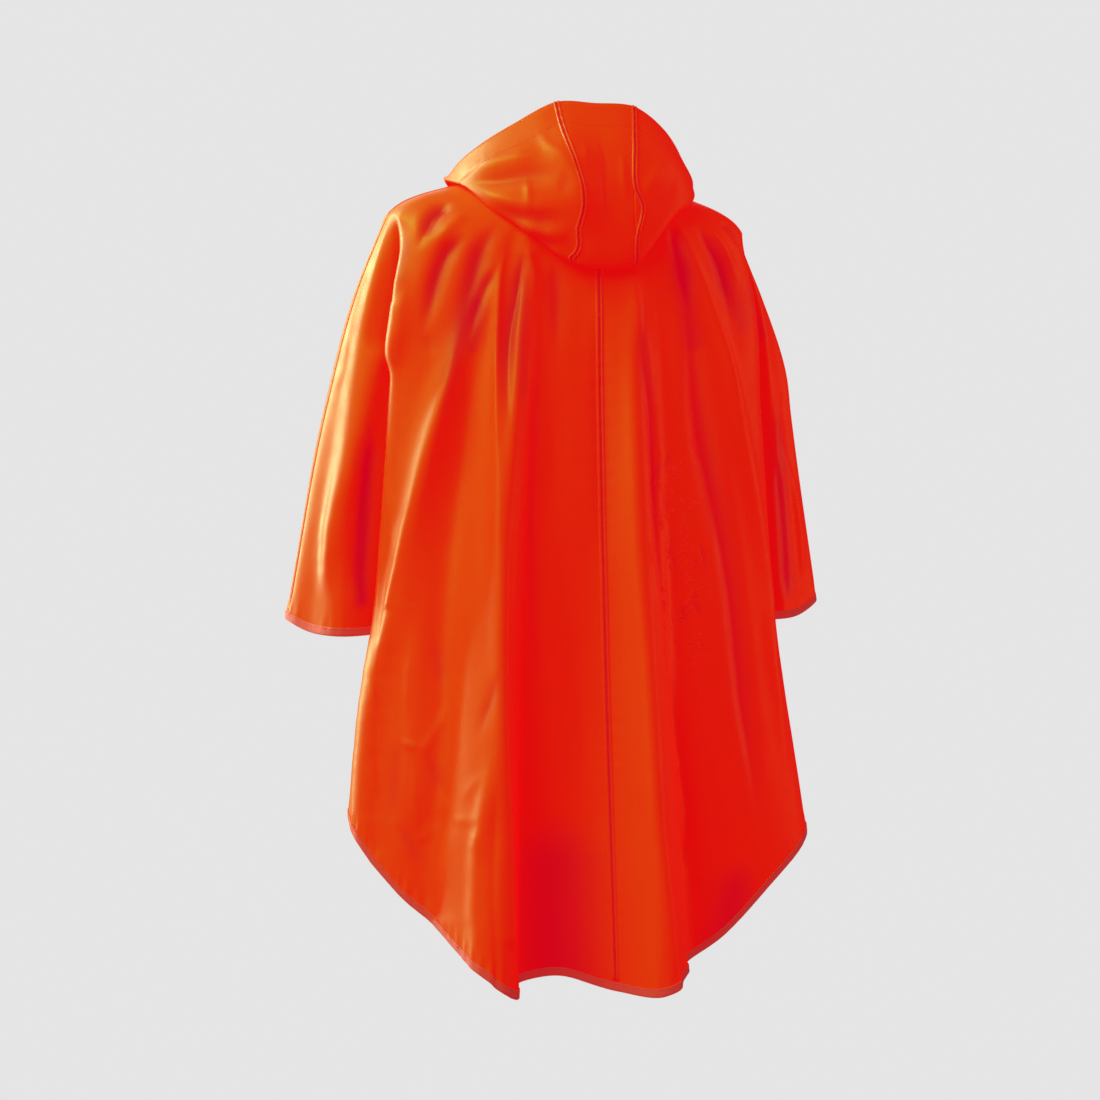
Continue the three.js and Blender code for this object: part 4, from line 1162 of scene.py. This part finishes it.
def makeStage():
    turns = np.radians(np.arange(0, 91, studio["turn"]))
    out = studio["flat"] + (studio["reach"] - studio["flat"]) * np.sin(turns)
    up = studio["floor"] + studio["rise"] * (1 - np.cos(turns))
    around = 2 * np.pi * np.arange(studio["sides"]) / studio["sides"]
    x, y = np.outer(out, np.cos(around)), np.outer(out, np.sin(around))
    places, faces = sweep(np.stack([x, y, np.broadcast_to(up[:, None], x.shape)], axis=-1))
    material, nodes = newMaterial("pale_floor")
    glow = nodes.add("ShaderNodeEmission", {}, {"Color": (studio["grey"],) * 3 + (1,), "Strength": 1.0})
    nodes.add("ShaderNodeOutputMaterial", {}, {"Surface": glow})
    stage = makePiece("pale_floor", places / mm, faces[:-1], material)
    stage.visible_diffuse = False
    stage.visible_glossy = False
    stage.visible_shadow = False


def addLight(name, place, aim, size, power, tone):
    lamp = bpy.data.lights.new(name, "AREA")
    lamp.shape = "RECTANGLE"
    lamp.size, lamp.size_y = size
    lamp.energy = power
    lamp.color = tone
    light = newObject(name, lamp)
    light.location = place
    light.rotation_euler = (Vector(aim) - Vector(place)).to_track_quat("-Z", "Y").to_euler()
    light.visible_camera = False


makeStage()
middle = (0, 0, -0.45)
yellow = (1.0, 0.85, 0.3)
addLight("key", (3.1, 0.3, 1.3), middle, (1.6, 3.0), 14, yellow)
addLight("rim", (2.4, -2.2, 0.9), middle, (1.1, 3.4), 320, (1.0, 0.92, 0.7))
addLight("soft left", (2.4, 1.7, 1.7), middle, (1.8, 1.8), 40, yellow)
addLight("top left", (1.4, 0.3, 1.1), (0.1, 0, -0.1), (0.6, 0.6), 24, yellow)
addLight("far side", (-3.2, 0.2, 0.3), middle, (1.0, 3.0), 9, (1.0, 0.83, 0.3))
addLight("front fill", (-0.8, -3.2, 1.2), middle, (2.5, 2.5), 25, (1.0, 0.93, 0.86))
world = bpy.data.worlds.new("studio")
world.use_nodes = True
world.node_tree.nodes["Background"].inputs["Color"].default_value = (1, 0.97, 0.95, 1)
world.node_tree.nodes["Background"].inputs["Strength"].default_value = 0.012
bpy.context.scene.world = world

view = dict(place=(0.974, 2.411, -0.359), aim=(0.022, -0.009, -0.4635), lens=68.07)
lens = bpy.data.cameras.new("camera")
lens.lens = view["lens"]
lens.sensor_width = 36
camera = newObject("camera", lens)
camera.location = view["place"]
camera.rotation_euler = (Vector(view["aim"]) - Vector(view["place"])).to_track_quat("-Z", "Y").to_euler()
bpy.context.scene.camera = camera
bpy.context.scene.view_settings.view_transform = "Standard"
print("studio set")
